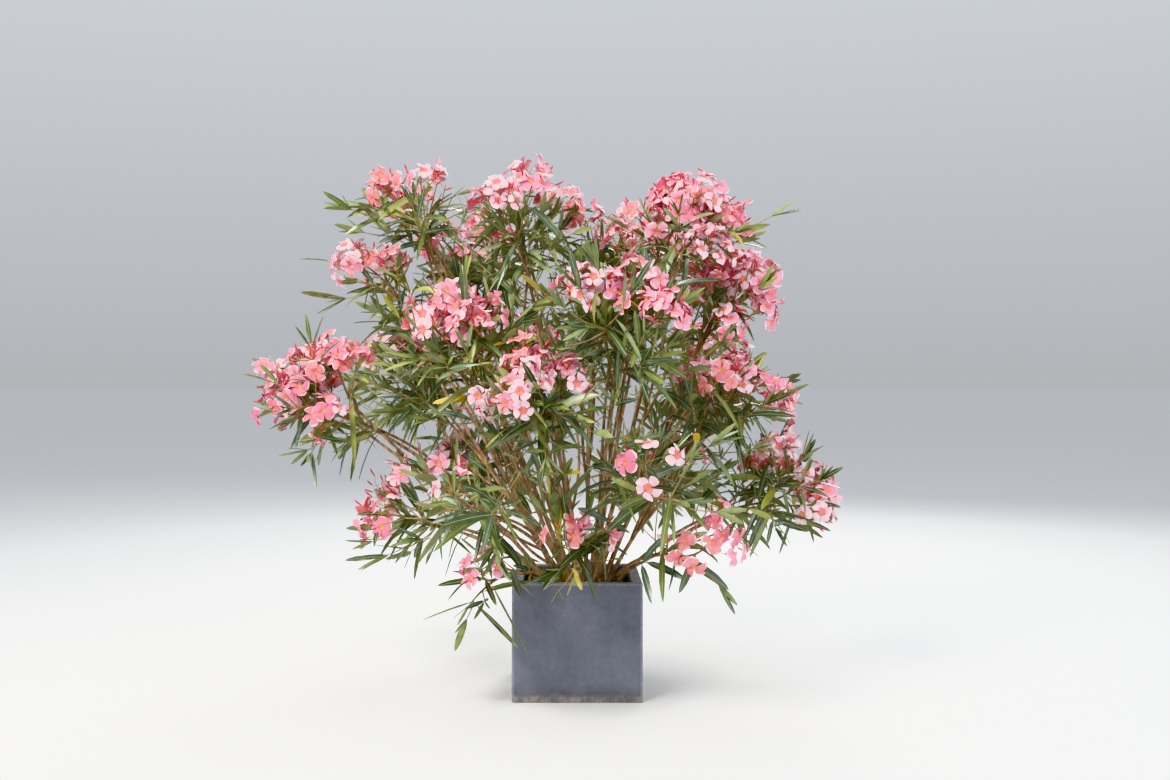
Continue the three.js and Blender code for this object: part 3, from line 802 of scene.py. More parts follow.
class Heap:
    """The faces of many small bodies, gathered for one joined mesh."""

    def __init__(self):
        self.vertices = []
        self.faces = []
        self.paints = []
        self.count = 0
        self.triangles = 0

    def add(self, vertices, *painted_faces):
        for faces, paints in painted_faces:
            self.faces.append(faces + self.count)
            self.paints.append(np.broadcast_to(paints, len(faces)))
            self.triangles += len(faces) * (faces.shape[1] - 2)
        self.vertices.append(vertices)
        self.count += len(vertices)

    def add_bodies(self, rings, starts, ends, paints):
        """Adds closed bodies, each a row of rings of corners between a start and an end point.

        rings is by body, ring, corner and coordinate, and starts and ends by body and coordinate. paints has
        the material of each face, by body, row of faces from the start to the end, and corner.
        """
        bodies, count, corners, _ = rings.shape
        if bodies == 0:
            return
        size = count * corners + 2
        vertices = np.concatenate([rings.reshape(bodies, -1, 3), starts[:, None], ends[:, None]], axis=1)
        here = np.arange(count * corners).reshape(count, corners)
        following = np.roll(here, -1, axis=1)
        quads = np.stack([here[:-1], following[:-1], following[1:], here[1:]], axis=-1).reshape(-1, 4)
        first = np.stack([np.full(corners, size - 2), following[0], here[0]], axis=-1)
        last = np.stack([np.full(corners, size - 1), here[-1], following[-1]], axis=-1)
        offsets = np.arange(bodies)[:, None, None] * size
        paints = np.broadcast_to(paints, (bodies, count + 1, corners))
        self.add(
            vertices.reshape(-1, 3),
            ((quads + offsets).reshape(-1, 4), paints[:, 1:-1].reshape(-1)),
            ((np.concatenate([first, last]) + offsets).reshape(-1, 3), paints[:, [0, -1]].reshape(-1)),
        )

    def add_stalks(self, arc, radii, mesh, paint=0):
        """Adds tapering stalks along an arc, or along each of many in rows, as rings square to it."""
        steps, sides = mesh
        many = Arc(*[np.atleast_2d(place)[:, None] for place in (arc.start, arc.elbow, arc.end)])
        shares = np.linspace(0, 1, steps)
        points = many.point(shares)
        tangents = many.tangent(shares)
        radius = lerp(*radii, shares)
        hinge = np.cross(tangents[:, 0], tangents[:, -1])
        straight = np.linalg.norm(hinge, axis=-1) < HINGE_LEAST
        hinge[straight] = np.cross(tangents[straight, 0], ASKEW)
        hinge = unit(hinge)[:, None]
        across = unit(hinge - tangents * (hinge * tangents).sum(-1, keepdims=True))
        out = np.cross(tangents, across)
        spokes = spun(across[:, :, None], out[:, :, None], np.arange(sides) * TURN / sides)
        rings = points[:, :, None] + spokes * radius[:, None, None]
        starts = points[:, 0] - tangents[:, 0] * radius[0]
        ends = points[:, -1] + tangents[:, -1] * radius[-1]
        self.add_bodies(rings, starts, ends, paint)

    def build(self, name, materials, sharp_degrees):
        mesh = bpy.data.meshes.new(name)
        vertices = np.concatenate(self.vertices).astype(np.float32)
        sizes = np.concatenate([np.full(len(faces), faces.shape[1]) for faces in self.faces])
        corners = np.concatenate([faces.reshape(-1) for faces in self.faces])
        mesh.vertices.add(len(vertices))
        mesh.vertices.foreach_set("co", vertices.reshape(-1))
        mesh.loops.add(len(corners))
        mesh.loops.foreach_set("vertex_index", corners.astype(np.int32))
        mesh.polygons.add(len(sizes))
        starts = np.concatenate([[0], np.cumsum(sizes)[:-1]])
        mesh.polygons.foreach_set("loop_start", starts.astype(np.int32))
        mesh.polygons.foreach_set("material_index", np.concatenate(self.paints).astype(np.int32))
        mesh.update(calc_edges=True)
        mesh.shade_smooth()
        mesh.set_sharp_from_angle(angle=math.radians(sharp_degrees))
        for material in materials:
            mesh.materials.append(material)
        piece = bpy.data.objects.new(name, mesh)
        bpy.context.scene.collection.objects.link(piece)
        return piece


def settle(piece, slot, *nodes):
    """The piece rides on the plant's one body and stands for nodes. The slot is not used."""
    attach(piece, "root")
    if nodes:
        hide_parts(*nodes)


class Nodes:
    """A tree of shader nodes, with short ways to add what the finishes and the sky are made of."""

    def __init__(self, owner, coordinates):
        owner.use_nodes = True
        self.tree = owner.node_tree
        self.place = self.tree.nodes.new("ShaderNodeTexCoord").outputs[coordinates]

    def feed(self, node, values):
        """Sets inputs of a node to values, or links them where the value is another node's socket."""
        for name, value in values.items():
            if isinstance(value, bpy.types.NodeSocket):
                self.tree.links.new(value, node.inputs[name])
            else:
                node.inputs[name].default_value = value

    def add(self, kind, values):
        node = self.tree.nodes.new("ShaderNode" + kind)
        self.feed(node, values)
        return node

    def parts(self):
        """The place's three coordinates."""
        return self.add("SeparateXYZ", {"Vector": self.place}).outputs

    def noise(self, scale, detail, stretch=(1, 1, 1)):
        spread = self.add("Mapping", {"Vector": self.place, "Scale": stretch})
        values = {"Vector": spread.outputs["Vector"], "Scale": scale, "Detail": detail}
        return self.add("TexNoise", values).outputs["Fac"]

    def ramp(self, value, *stops):
        """A colour that goes with the value from the first stop's to the second's."""
        ramp = self.add("ValToRGB", {"Fac": value})
        for element, (position, colour) in zip(ramp.color_ramp.elements, stops):
            element.position = position
            element.color = (*colour, 1)
        return ramp.outputs["Color"]

    def mix(self, kind, share, first, second):
        """Two colours mixed. The node has them at its inputs 6 and 7, and the result at its output 2."""
        mix = self.add("Mix", {})
        mix.data_type = "RGBA"
        mix.blend_type = kind
        self.feed(mix, {"Factor": share, 6: first, 7: second})
        return mix.outputs[2]

    def math(self, operation, *values):
        node = self.add("Math", {})
        node.operation = operation
        self.feed(node, dict(enumerate(values)))
        return node.outputs["Value"]

    def band(self, value, low, high, first, last):
        """A share that goes from first to last while the value goes from low to high."""
        values = {"Value": value, "From Min": low, "From Max": high, "To Min": first, "To Max": last}
        return self.add("MapRange", values).outputs["Result"]

    def near(self, value, edge, outer, inner):
        """A share that goes from 0 to 1 from an outer distance under an edge to an inner one."""
        return self.band(value, edge - outer, edge - inner, 0.0, 1.0)


class Finish(Nodes):
    """A material, with its shader."""

    def __init__(self, name, roughness, specular):
        self.material = bpy.data.materials.new(name)
        super().__init__(self.material, "Object")
        self.shader = self.tree.nodes["Principled BSDF"]
        self.feed(self.shader, {"Roughness": roughness, "Specular IOR Level": specular})

    def cover(self, colour):
        self.feed(self.shader, {"Base Color": colour})

    def emboss(self, height, depth):
        relief = self.add("Bump", {"Height": height, "Distance": depth})
        self.feed(self.shader, {"Normal": relief.outputs["Normal"]})


def make_material(name, low, high, roughness, scale, relief=None, stretch=(1, 1, 1), specular=0.5):
    """A finish whose colour wanders between two shades, with a relief given as its depth and scale."""
    finish = Finish(name, roughness, specular)
    wander = finish.noise(scale, SHADES_DETAIL, stretch)
    finish.cover(finish.ramp(wander, (SHADES_FROM, low), (SHADES_TO, high)))
    if relief:
        depth, fineness = relief
        finish.emboss(finish.noise(fineness, RELIEF_DETAIL, stretch), depth)
    return finish.material


def bark_materials():
    """The bark of stems and boughs, and the rind of twigs."""
    low, high = (0.19, 0.117, 0.058), (0.43, 0.29, 0.165)
    relief, stretch = (0.0006, 220), (1, 1, 0.35)
    bark = make_material("bark", low, high, roughness=0.75, scale=60, relief=relief, stretch=stretch)
    low, high = (0.33, 0.19, 0.1), (0.4, 0.3, 0.13)
    rind = make_material("twig_rind", low, high, roughness=0.6, scale=40, relief=(0.0003, 300))
    return bark, rind


def build_leaves(heap, rows):
    """Leaves as slim closed blades, folded along a pale midrib."""
    points, across, upper = leaf_lines(rows, LEAF_RINGS)
    half = (rows["width"][:, None] / 2 * LEAF_PROFILE)[..., None]
    wide = across * half
    rib = across * LEAF_RIB
    edge = upper * half * LEAF_FOLD
    keel = upper * LEAF_KEEL
    corners = [points - wide + edge, points - rib, points + rib, points + wide + edge, points - keel]
    top = rows["paint"]
    under = len(LEAF_TOPS) + LEAF_UNDER_OF[top]
    rib_paint = np.full(len(top), len(LEAF_TOPS) + len(LEAF_UNDERS))
    paints = np.stack([top, rib_paint, top, under, under], axis=-1)
    heap.add_bodies(np.stack(corners, axis=2), *leaf_ends(rows), paints[:, None])


def leaf_materials():
    grain = {"scale": 30, "relief": (0.0003, 260)}
    tops = [make_material(*shades, roughness=0.33, specular=0.65, **grain) for shades in LEAF_TOPS]
    unders = [make_material(*shades, roughness=0.6, **grain) for shades in LEAF_UNDERS]
    rib = make_material("leaf_rib", (0.3, 0.36, 0.14), (0.36, 0.42, 0.18), roughness=0.5, scale=40)
    return [*tops, *unders, rib]


# Blossom colours: those of the petals, dealt out by truss, then those of the rest of a flower
PETAL_TINTS = [
    ("petal_pale", (0.93, 0.58, 0.66), (0.97, 0.77, 0.82)),
    ("petal_pink", (0.9, 0.34, 0.47), (0.94, 0.48, 0.6)),
    ("petal_rose", (0.84, 0.2, 0.33), (0.89, 0.31, 0.43)),
    ("petal_salmon", (0.89, 0.28, 0.3), (0.93, 0.4, 0.4)),
]
PETAL_SHARES = (0.29, 0.36, 0.19, 0.16)
PETAL_PALE = 0
BLOSSOM_TINTS = [
    ("petal_base", (0.88, 0.22, 0.27), (0.92, 0.32, 0.36)),
    ("throat", (0.93, 0.42, 0.05), (0.96, 0.58, 0.11)),
    ("tube", (0.7, 0.12, 0.1), (0.78, 0.2, 0.14)),
    ("calyx", (0.3, 0.05, 0.03), (0.36, 0.1, 0.04)),
    ("pedicel", (0.38, 0.24, 0.08), (0.45, 0.32, 0.12)),
    ("bud", (0.6, 0.05, 0.09), (0.7, 0.1, 0.14)),
]
PETAL_BASE, THROAT, TUBE, CALYX, PEDICEL, BUD = range(len(PETAL_TINTS), len(PETAL_TINTS) + len(BLOSSOM_TINTS))


def blossom_materials():
    relief = (0.0003, 300)
    petals = [make_material(*shades, roughness=0.55, scale=45, relief=relief) for shades in PETAL_TINTS]
    rest = [make_material(*shades, roughness=0.5, scale=60) for shades in BLOSSOM_TINTS]
    return petals + rest


def rings_round(base, way, spokes, heights, radii):
    """Rings of corners round ways that start at base points, at these heights and with these radii."""
    centres = base[:, None, None] + way[:, None, None] * heights[..., None, None]
    return centres + spokes * radii[..., None, None]


def build_flowers(heap, base, way, turn, size, tint, random):
    """Flowers: a funnel in a calyx, and petals that stand out from its mouth like a propeller."""
    count = len(base)
    side, other = sides_of(way)
    scale = size[:, None]
    angles = turn[:, None] + np.arange(PETALS) * TURN / PETALS
    spokes = spun(side[:, None], other[:, None], angles)[:, None]
    rings = rings_round(base, way, spokes, TUBE_HEIGHTS * TUBE_LENGTH * scale, TUBE_RADII * scale)
    tube = way * TUBE_LENGTH * scale
    paints = np.full((count, len(TUBE_HEIGHTS) + 1, PETALS), TUBE)
    paints[:, -1] = THROAT
    heap.add_bodies(rings, base - way * TUBE_FOOT, base + tube * (1 - THROAT_DEPTH), paints)
    rings = rings_round(base, way, spokes, CALYX_HEIGHTS, CALYX_RADII)
    heap.add_bodies(rings, base - way * CALYX_FOOT, base + way * CALYX_LENGTH, CALYX)
    for petal in range(PETALS):
        wander = random.uniform(-PETAL_TURN_WANDER, PETAL_TURN_WANDER, count)
        out = spun(side, other, angles[:, petal] + TURN / PETALS / 2 + wander)
        build_petals(heap, base + tube, way, out, scale, tint, random)


def build_petals(heap, mouth, way, out, scale, tint, random):
    """One petal of each flower: a blade from the throat outward, skewed, tilted and curled."""
    count = len(mouth)
    aside = np.cross(way, out)
    droop = random.uniform(*PETAL_DROOP, count)[:, None]
    length = random.uniform(*PETAL_LONG, count)[:, None] * PETAL_REACH
    reach = (THROAT_RADIUS + (length - THROAT_RADIUS) * PETAL_ROWS) * scale
    height = (PETAL_HEIGHT + droop * PETAL_ROWS**2) * scale
    skew = PETAL_SKEW * PETAL_ROWS**2 * scale
    middle = mouth[:, None] + out[:, None] * reach[..., None]
    middle = middle + way[:, None] * height[..., None] + aside[:, None] * skew[..., None]
    wide = (PETAL_WIDTH * scale)[..., None]
    tilt = random.uniform(*PETAL_TILT, count)[:, None, None]
    curl = random.uniform(*PETAL_CURL, count)[:, None, None]
    edge = (aside[:, None] + way[:, None] * tilt) * wide
    rise = way[:, None] * curl * wide
    thick = way[:, None] * PETAL_THICKNESS
    rings = np.stack([middle + edge + rise, middle + thick, middle - edge + rise, middle - thick], axis=2)
    paints = np.repeat(tint[:, None], len(PETAL_ROWS) + 1, axis=1)
    paints[:, :2] = PETAL_BASE
    paints[:, -2:] = PETAL_PALE
    root = middle[:, 0] - out * PETAL_ROOT
    tip = middle[:, -1] + out * PETAL_TIP * scale
    heap.add_bodies(rings, root, tip, paints[..., None])


def build_buds(heap, base, way, length):
    """Closed buds, pointed and twisted, in a small calyx."""
    side, other = sides_of(way)
    angles = BUD_HEIGHTS[:, None] * BUD_TWIST + np.arange(PETALS) * TURN / PETALS
    spokes = spun(side[:, None, None], other[:, None, None], angles)
    rings = rings_round(base, way, spokes, BUD_HEIGHTS * length[:, None], BUD_RADII)
    paints = np.full((len(base), len(BUD_HEIGHTS) + 1, PETALS), BUD)
    paints[:, :2] = CALYX
    heap.add_bodies(rings, base - way * TUBE_FOOT, base + way * length[:, None], paints)


def build_truss(heap, twig, mass, truss, random):
    """A truss of flowers and buds on branching stalks, over a dome at a twig's end."""
    onward = twig.tangents(1.0)[0]
    axis = unit(onward + TRUSS_RISE * UPWARD)
    back = TRUSS_BACK_ON_TOP if mass.heart[2] > TOP_MASS else TRUSS_BACK
    origin = twig.points(1.0)[0] - onward * back
    radius = random.uniform(*truss["radius"])
    flowers = max(FLOWERS_LEAST, round(random.integers(*truss["flowers"]) * mass.flowery))
    count = flowers + round(random.integers(*BUDS) * mass.flowery)
    order = random.permutation(count)
    opening = np.arccos(1 - (order + 0.5) / count * (1 - math.cos(TRUSS_CAP)))
    out = turned_from(axis, opening, random.uniform(0, TURN) + order * GOLDEN_ANGLE)
    base = origin + out * radius * random.uniform(*TRUSS_REACH, count)[:, None]
    inside = np.all((base > box_low) & (base < box_high), axis=1)
    keep = inside & are_free(base + out * TUBE_LENGTH, mass, TRUSS_CLEARANCE, TRUSS_SLACK)
    open_now = (np.arange(count) < flowers)[keep]
    out, base = out[keep], base[keep]
    count = len(base)
    if not count:
        return
    hub_way = turned_from(axis, HUB_OPEN, random.uniform(0, TURN) + np.arange(HUBS) * TURN / HUBS)
    hubs = origin + hub_way * radius * HUB_REACH
    heap.add_stalks(Arc(origin, origin + axis * radius * HUB_ELBOW, hubs), HUB_RADII, STALK_MESH, PEDICEL)
    nearest = np.argmax(out @ hub_way.T, axis=1)
    feet = hubs[nearest]
    elbows = feet + hub_way[nearest] * PEDICEL_ELBOW * np.linalg.norm(base - feet, axis=1)[:, None]
    heap.add_stalks(Arc(feet, elbows, base), PEDICEL_RADII, STALK_MESH, PEDICEL)
    facing = unit(out + random.normal(0, FLOWER_WANDER, out.shape) + FLOWER_RISE * UPWARD)
    shade = random.choice(len(PETAL_TINTS), p=PETAL_SHARES)
    others = random.choice(len(PETAL_TINTS), size=count, p=PETAL_SHARES)
    tint = np.where(random.uniform(size=count) < PETALS_OF_SHADE, shade, others)
    turn = random.uniform(0, TURN, count)
    size = random.uniform(*FLOWER_SIZE, count)
    build_flowers(heap, *[values[open_now] for values in (base, facing, turn, size, tint)], random)
    upright = unit(out + BUD_UPRIGHT * axis)[~open_now]
    build_buds(heap, base[~open_now], upright, random.uniform(*BUD_LENGTH, len(upright)))


def build_stem(heap, mass, twigs):
    """A stem and its leader as one limb with ridged bark and the rings of old leaf scars."""
    elbow = lerp(mass.foot, mass.limb.elbow, mass.stem_share)
    stem = Arc(mass.foot, elbow, mass.limb.point(mass.stem_share))
    whole = Stalk([stem, *twigs[0].arcs])
    steps = int(whole.length / BARK_STEP)
    shares = np.linspace(0, 1, steps)
    points = whole.points(shares)
    tangents = whole.tangents(shares)
    stem_end = whole.ends[0]
    at_stem = stem_radius(mass, np.minimum(shares / stem_end, 1))
    past = np.clip((shares - stem_end) / (1 - stem_end), 0, 1)
    radii = np.where(shares < stem_end, at_stem, lerp(STEM_RADIUS_TIP, TWIG_RADII[1], past))
    points[0] -= UPWARD * BARK_SUNK
    heights = shares * whole.length
    spacing = lerp(*SCAR_SPACING, mass.number % SCAR_SPACINGS / (SCAR_SPACINGS - 1))
    scars = np.zeros(steps)
    for height in np.arange(SCAR_FIRST, whole.length, spacing):
        scars += np.exp(-(((heights - height) / SCAR_LENGTH) ** 2))
    rings = np.empty((1, steps, BARK_SIDES, 3))
    across = sides_of(tangents[0])[0]
    for ring in range(steps):
        along = tangents[ring]
        across = unit(across - along * (across @ along))
        out = np.cross(along, across)
        place = Vector(points[ring] * BARK_WANDER_SCALE) + Vector((mass.number, 0, 0))
        sway = across * noise.noise(place) + out * noise.noise(place + BARK_WANDER_OTHER)
        centre = points[ring] + min(1, ring / BARK_STEADY_STEPS) * BARK_WANDER * sway
        climb = heights[ring] * BARK_RIDGE_ALONG + mass.number * BARK_RIDGE_SHIFT
        for corner in range(BARK_SIDES):
            angle = corner * TURN / BARK_SIDES
            spoke = spun(across, out, angle)
            ridge = noise.noise(Vector((*(spoke * BARK_RIDGE_ROUND)[:2], climb)))
            scar = scars[ring] * (1 - SCAR_WHORL + SCAR_WHORL * math.cos(WHORL * angle))
            relief = BARK_RIDGE * ridge + SCAR_HEIGHT * scar
            rings[0, ring, corner] = centre + spoke * radii[ring] * (1 + relief)
    heap.add_bodies(rings, points[:1], points[-1:] + tangents[-1:] * radii[-1], 0)


def quarter_round(x, y, radius, first, shares):
    """Points on a quarter circle, anticlockwise from a number of quarter turns on, at shares of it."""
    angles = (first + shares) * math.pi / 2
    return np.column_stack([x + radius * np.cos(angles), y + radius * np.sin(angles)])


def rounded_square(half, corner):
    """The corners of a level square outline with round corners, from the right side's foot anticlockwise."""
    straight = half - corner
    side = [(half, y) for y in np.linspace(-straight, straight, POT_SIDE_STEPS, endpoint=False)]
    bend = quarter_round(straight, straight, corner, 0, np.linspace(0, 1, POT_CORNER_STEPS, endpoint=False))
    quarters = [np.concatenate([side, bend])]
    for _ in range(3):
        last = quarters[-1]
        quarters.append(np.column_stack([-last[:, 1], last[:, 0]]))
    return np.concatenate(quarters)


def pot_profile():
    """The pot's section from near the middle of its underside round its wall and rim to its floor."""
    opening = POT_HALF - RIM_WIDTH
    inner = POT_HALF - WALL
    under_rim = POT_TOP - RIM_DEPTH
    heights = np.linspace(POT_FOOT_ROUND, POT_TOP - RIM_ROUND, POT_HEIGHT_STEPS + 1)[1:-1]
    shares = np.linspace(0, 1, ROUND_STEPS + 1)
    return [
        *[(POT_HALF * share, 0) for share in POT_FOOT_RINGS],
        *quarter_round(POT_HALF - POT_FOOT_ROUND, POT_FOOT_ROUND, POT_FOOT_ROUND, -1, shares),
        *[(POT_HALF, height) for height in heights],
        *quarter_round(POT_HALF - RIM_ROUND, POT_TOP - RIM_ROUND, RIM_ROUND, 0, shares),
        *[(lerp(POT_HALF - RIM_ROUND, opening + RIM_ROUND, share), POT_TOP) for share in RIM_RINGS],
        *quarter_round(opening + RIM_ROUND, POT_TOP - RIM_ROUND, RIM_ROUND, 1, shares),
        (opening, lerp(POT_TOP, under_rim, 0.5)),
        (opening, under_rim),
        (inner, under_rim),
        (inner, under_rim - RIM_DEPTH),
        (inner, FLOOR),
        (inner / 2, FLOOR),
    ]


def make_pot():
    """The pot's walls, slightly uneven but for its foot."""
    rings = []
    for half, height in pot_profile():
        outline = rounded_square(half, min(POT_CORNER, half / 2))
        rings.append(np.column_stack([outline, np.full(len(outline), height)]))
    rings = np.array(rings)
    for point in rings.reshape(-1, 3):
        if point[2] > POT_TRUE_FOOT:
            lean = lerp(1, waves(point, POT_WAVES), POT_WAVES_SHARE)
            point[:2] *= 1 - POT_UNEVEN / POT_HALF * lean
    heap = Heap()
    heap.add_bodies(rings[None], np.zeros((1, 3)), np.array([[0, 0, FLOOR]]), 0)
    settle(heap.build("pot_shell", [pot_material()], sharp_degrees=50), "pot", "pot")


# The pot's finish. Noise is given by its scale and detail, and then by its stretch where it has one. Two
# colours each come with the value of the noise that they go with.
POT_ROUGHNESS = 0.78
POT_SPECULAR = 0.35
POT_CLOUDS = (7, 6)
POT_COLOURS = ((0.3, (0.135, 0.145, 0.184)), (0.7, (0.195, 0.206, 0.248)))
POT_GRAIN = (160, 6)
POT_GRAIN_DEPTH = 0.0006

# Shades over its colour: streaks down its sides, mottles and specks, each with how strong it is
POT_SHADES = [
    (0.35, 30, 5, (1, 1, 0.3), (0.35, (0.92, 0.92, 0.93)), (0.65, (1.04, 1.04, 1.03))),
    (0.45, 48, 6, (1, 1, 1), (0.34, (0.86, 0.86, 0.87)), (0.66, (1.13, 1.12, 1.09))),
    (0.7, 420, 2, (1, 1, 1), (0.3, (0.8, 0.8, 0.8)), (0.7, (1.15, 1.15, 1.15))),
]

# Ragged bands along its foot, a damp one and a worn one, each with how strong it is and between which heights
# it fades out
FOOT_BANDS = [
    (0.7, 0.045, 0.08, 26, 6, (1, 1, 0.7), (0.38, (0.15, 0.148, 0.16)), (0.62, (0.105, 0.104, 0.112))),
    (0.8, 0.032, 0.046, 60, 6, (1, 1, 0.5), (0.36, (0.33, 0.29, 0.24)), (0.64, (0.15, 0.142, 0.138))),
]
FOOT_RAGGED = (22, 5)
FOOT_RAGGED_HEIGHT = 0.04

# Corners worn pale, and the rim's top painted pale as painted light from above, from the first distance to
# the pot's corners or top, and fully from the second
WEAR_AND_LIGHT_STRENGTH = 0.7
EDGE_AT_CORNER = (0.01, 0.003)
PAINTED_LIGHT_AT_TOP = (0.008, 0.002)
WEAR_AND_LIGHT_CLOUDS = (70, 4)
WEAR_AND_LIGHT_COLOURS = ((0.35, (0.24, 0.25, 0.28)), (0.65, (0.38, 0.39, 0.42)))


def pot_material():
    """Blue-grey fibre cement, damp and worn in a ragged band along its foot, worn pale on its corners, and
    with painted light on its rim's top.
    """
    finish = Finish("fibre_cement", POT_ROUGHNESS, POT_SPECULAR)
    x, y, height = finish.parts()
    body = finish.ramp(finish.noise(*POT_CLOUDS), *POT_COLOURS)
    for strength, scale, detail, stretch, *shades in POT_SHADES:
        shade = finish.ramp(finish.noise(scale, detail, stretch), *shades)
        body = finish.mix("MULTIPLY", strength, body, shade)
    ragged = finish.math("MULTIPLY_ADD", finish.noise(*FOOT_RAGGED), FOOT_RAGGED_HEIGHT, height)
    for strength, low, high, scale, detail, stretch, *colours in FOOT_BANDS:
        colour = finish.ramp(finish.noise(scale, detail, stretch), *colours)
        body = finish.mix("MIX", finish.band(ragged, low, high, strength, 0.0), body, colour)
    corner = finish.math("MINIMUM", finish.math("ABSOLUTE", x), finish.math("ABSOLUTE", y))
    at_corner = finish.near(corner, POT_HALF, *EDGE_AT_CORNER)
    # The pale colour is wear at the corners, and painted light from above on the rim's top
    lit_top = finish.near(height, POT_TOP, *PAINTED_LIGHT_AT_TOP)
    rubbed_and_lit = finish.band(finish.math("MAXIMUM", at_corner, lit_top), 0.0, 1.0, 0.0, WEAR_AND_LIGHT_STRENGTH)
    pale = finish.ramp(finish.noise(*WEAR_AND_LIGHT_CLOUDS), *WEAR_AND_LIGHT_COLOURS)
    finish.cover(finish.mix("MIX", rubbed_and_lit, body, pale))
    finish.emboss(finish.noise(*POT_GRAIN), POT_GRAIN_DEPTH)
    return finish.material


def make_soil():
    """The soil as a block with a crumbly top."""
    half = SOIL_HIGH.x
    places = np.linspace(-half, half, SOIL_STEPS + 1)
    x, y = np.meshgrid(places, places, indexing="ij")
    z = np.empty_like(x)
    for i, j in np.ndindex(x.shape):
        crumbs = waves(Vector((x[i, j], y[i, j], 0)), SOIL_WAVES)
        z[i, j] = SOIL_TOP + SOIL_UNEVEN * (crumbs - 0.5)
    size = SOIL_STEPS + 1
    top = np.stack([x, y, z], axis=-1).reshape(-1, 3)
    foot = top * (1, 1, 0) + (0, 0, SOIL_LOW.z)
    here = np.arange(size * size).reshape(size, size)
    quads = np.stack([here[:-1, :-1], here[1:, :-1], here[1:, 1:], here[:-1, 1:]], axis=-1).reshape(-1, 4)
    rim = np.concatenate([here[:-1, 0], here[-1, :-1], here[:0:-1, -1], here[0, :0:-1]])
    following = np.roll(rim, -1)
    lower = size * size
    walls = np.stack([rim + lower, following + lower, following, rim], axis=-1)
    heap = Heap()
    heap.add(np.concatenate([top, foot]), (quads, 0), (walls, 0), (quads[:, ::-1] + lower, 0))
    dark, pale = (0.018, 0.013, 0.009), (0.05, 0.036, 0.024)
    earth = make_material("earth", dark, pale, roughness=0.95, scale=90, relief=(0.003, 240))
    settle(heap.build("soil_top", [earth], sharp_degrees=60), "soil", "soil")


# The litter's materials: two shades, roughness and how fine the shades are
LITTER_TINTS = [
    ("fallen_brown", (0.2, 0.11, 0.05), (0.32, 0.2, 0.09), 0.8, 40),
    ("fallen_straw", (0.48, 0.34, 0.14), (0.58, 0.44, 0.2), 0.75, 40),
    ("dead_stick", (0.26, 0.21, 0.16), (0.36, 0.3, 0.23), 0.85, 60),
    ("moss", (0.2, 0.22, 0.035), (0.4, 0.38, 0.07), 0.9, 60),
]
FALLEN_BROWN, FALLEN_STRAW, DEAD_STICK, MOSS = range(len(LITTER_TINTS))


def raised(places, height):
    """Level places, all at one height."""
    return np.column_stack([places, np.full(len(places), height)])


def are_in_pot(points):
    return np.abs(points)[:, :2].max(1) < LITTER_HALF


def build_fallen(heap, random):
    """Fallen leaves, as thin blades that lie on the soil or lean up from it."""
    roots = raised(random.uniform(-LITTER_HALF, LITTER_HALF, (FALLEN_LEAVES, 2)), SOIL_TOP + FALLEN_LIFT)
    turns = random.uniform(0, TURN, FALLEN_LEAVES)
    rise = random.uniform(*FALLEN_RISE, FALLEN_LEAVES)
    way = unit(np.column_stack([np.cos(turns), np.sin(turns), rise]))
    length = random.uniform(*FALLEN_LENGTH, FALLEN_LEAVES)
    inside = are_in_pot(roots + way * length[:, None])
    count = inside.sum()
    rows = {
        "root": roots[inside],
        "way": way[inside],
        "length": length[inside],
        "top": UPWARD + FALLEN_TILT * random.normal(size=(count, 3)),
        "sag": random.uniform(*FALLEN_SAG, count),
        "twist": random.uniform(-FALLEN_TWIST, FALLEN_TWIST, count),
    }
    points, across, upper = leaf_lines(rows, LEAF_RINGS)
    wide = across * (rows["length"][:, None] * FALLEN_WIDTH / 2 * LEAF_PROFILE)[..., None]
    thick = upper * FALLEN_THICKNESS
    rings = np.stack([points - wide, points + thick, points + wide, points - thick], axis=2)
    paints = random.integers(FALLEN_BROWN, FALLEN_STRAW + 1, count)
    heap.add_bodies(rings, *leaf_ends(rows), paints[:, None, None])


def litter_arcs(feet, ways, lengths, elbow, bow):
    """The arcs of stalks that stand up from the soil, those whose tips stay inside the pot."""
    tips = feet + unit(ways) * lengths[:, None]
    inside = are_in_pot(tips)
    feet, tips = feet[inside], tips[inside]
    return Arc(feet, lerp(feet, tips, elbow) + UPWARD * bow, tips)


def make_litter():
    """Fallen leaves, short dead sticks and a tuft of moss on the soil."""
    random = np.random.default_rng(LITTER_SEED)
    heap = Heap()
    build_fallen(heap, random)
    feet = raised(random.uniform(-LITTER_HALF, LITTER_HALF, (STICKS, 2)), SOIL_TOP - STICK_BOW)
    ways = np.column_stack([random.normal(0, STICK_LEAN, (STICKS, 2)), random.uniform(*STICK_RISE, STICKS)])
    lengths = random.uniform(*STICK_LENGTH, STICKS)
    sticks = litter_arcs(feet, ways, lengths, STICK_ELBOW, STICK_BOW)
    heap.add_stalks(sticks, STICK_RADII, STICK_MESH, DEAD_STICK)
    feet = raised(random.normal(MOSS_PLACE, MOSS_SPREAD, (MOSS_BLADES, 2)), SOIL_TOP)
    ways = raised(random.normal(0, MOSS_LEAN, (MOSS_BLADES, 2)), 1)
    lengths = random.uniform(*MOSS_LENGTH, MOSS_BLADES)
    heap.add_stalks(litter_arcs(feet, ways, lengths, MOSS_ELBOW, 0), MOSS_RADII, MOSS_MESH, MOSS)
    materials = [make_material(*tint) for tint in LITTER_TINTS]
    settle(heap.build("litter", materials, sharp_degrees=50), "soil")


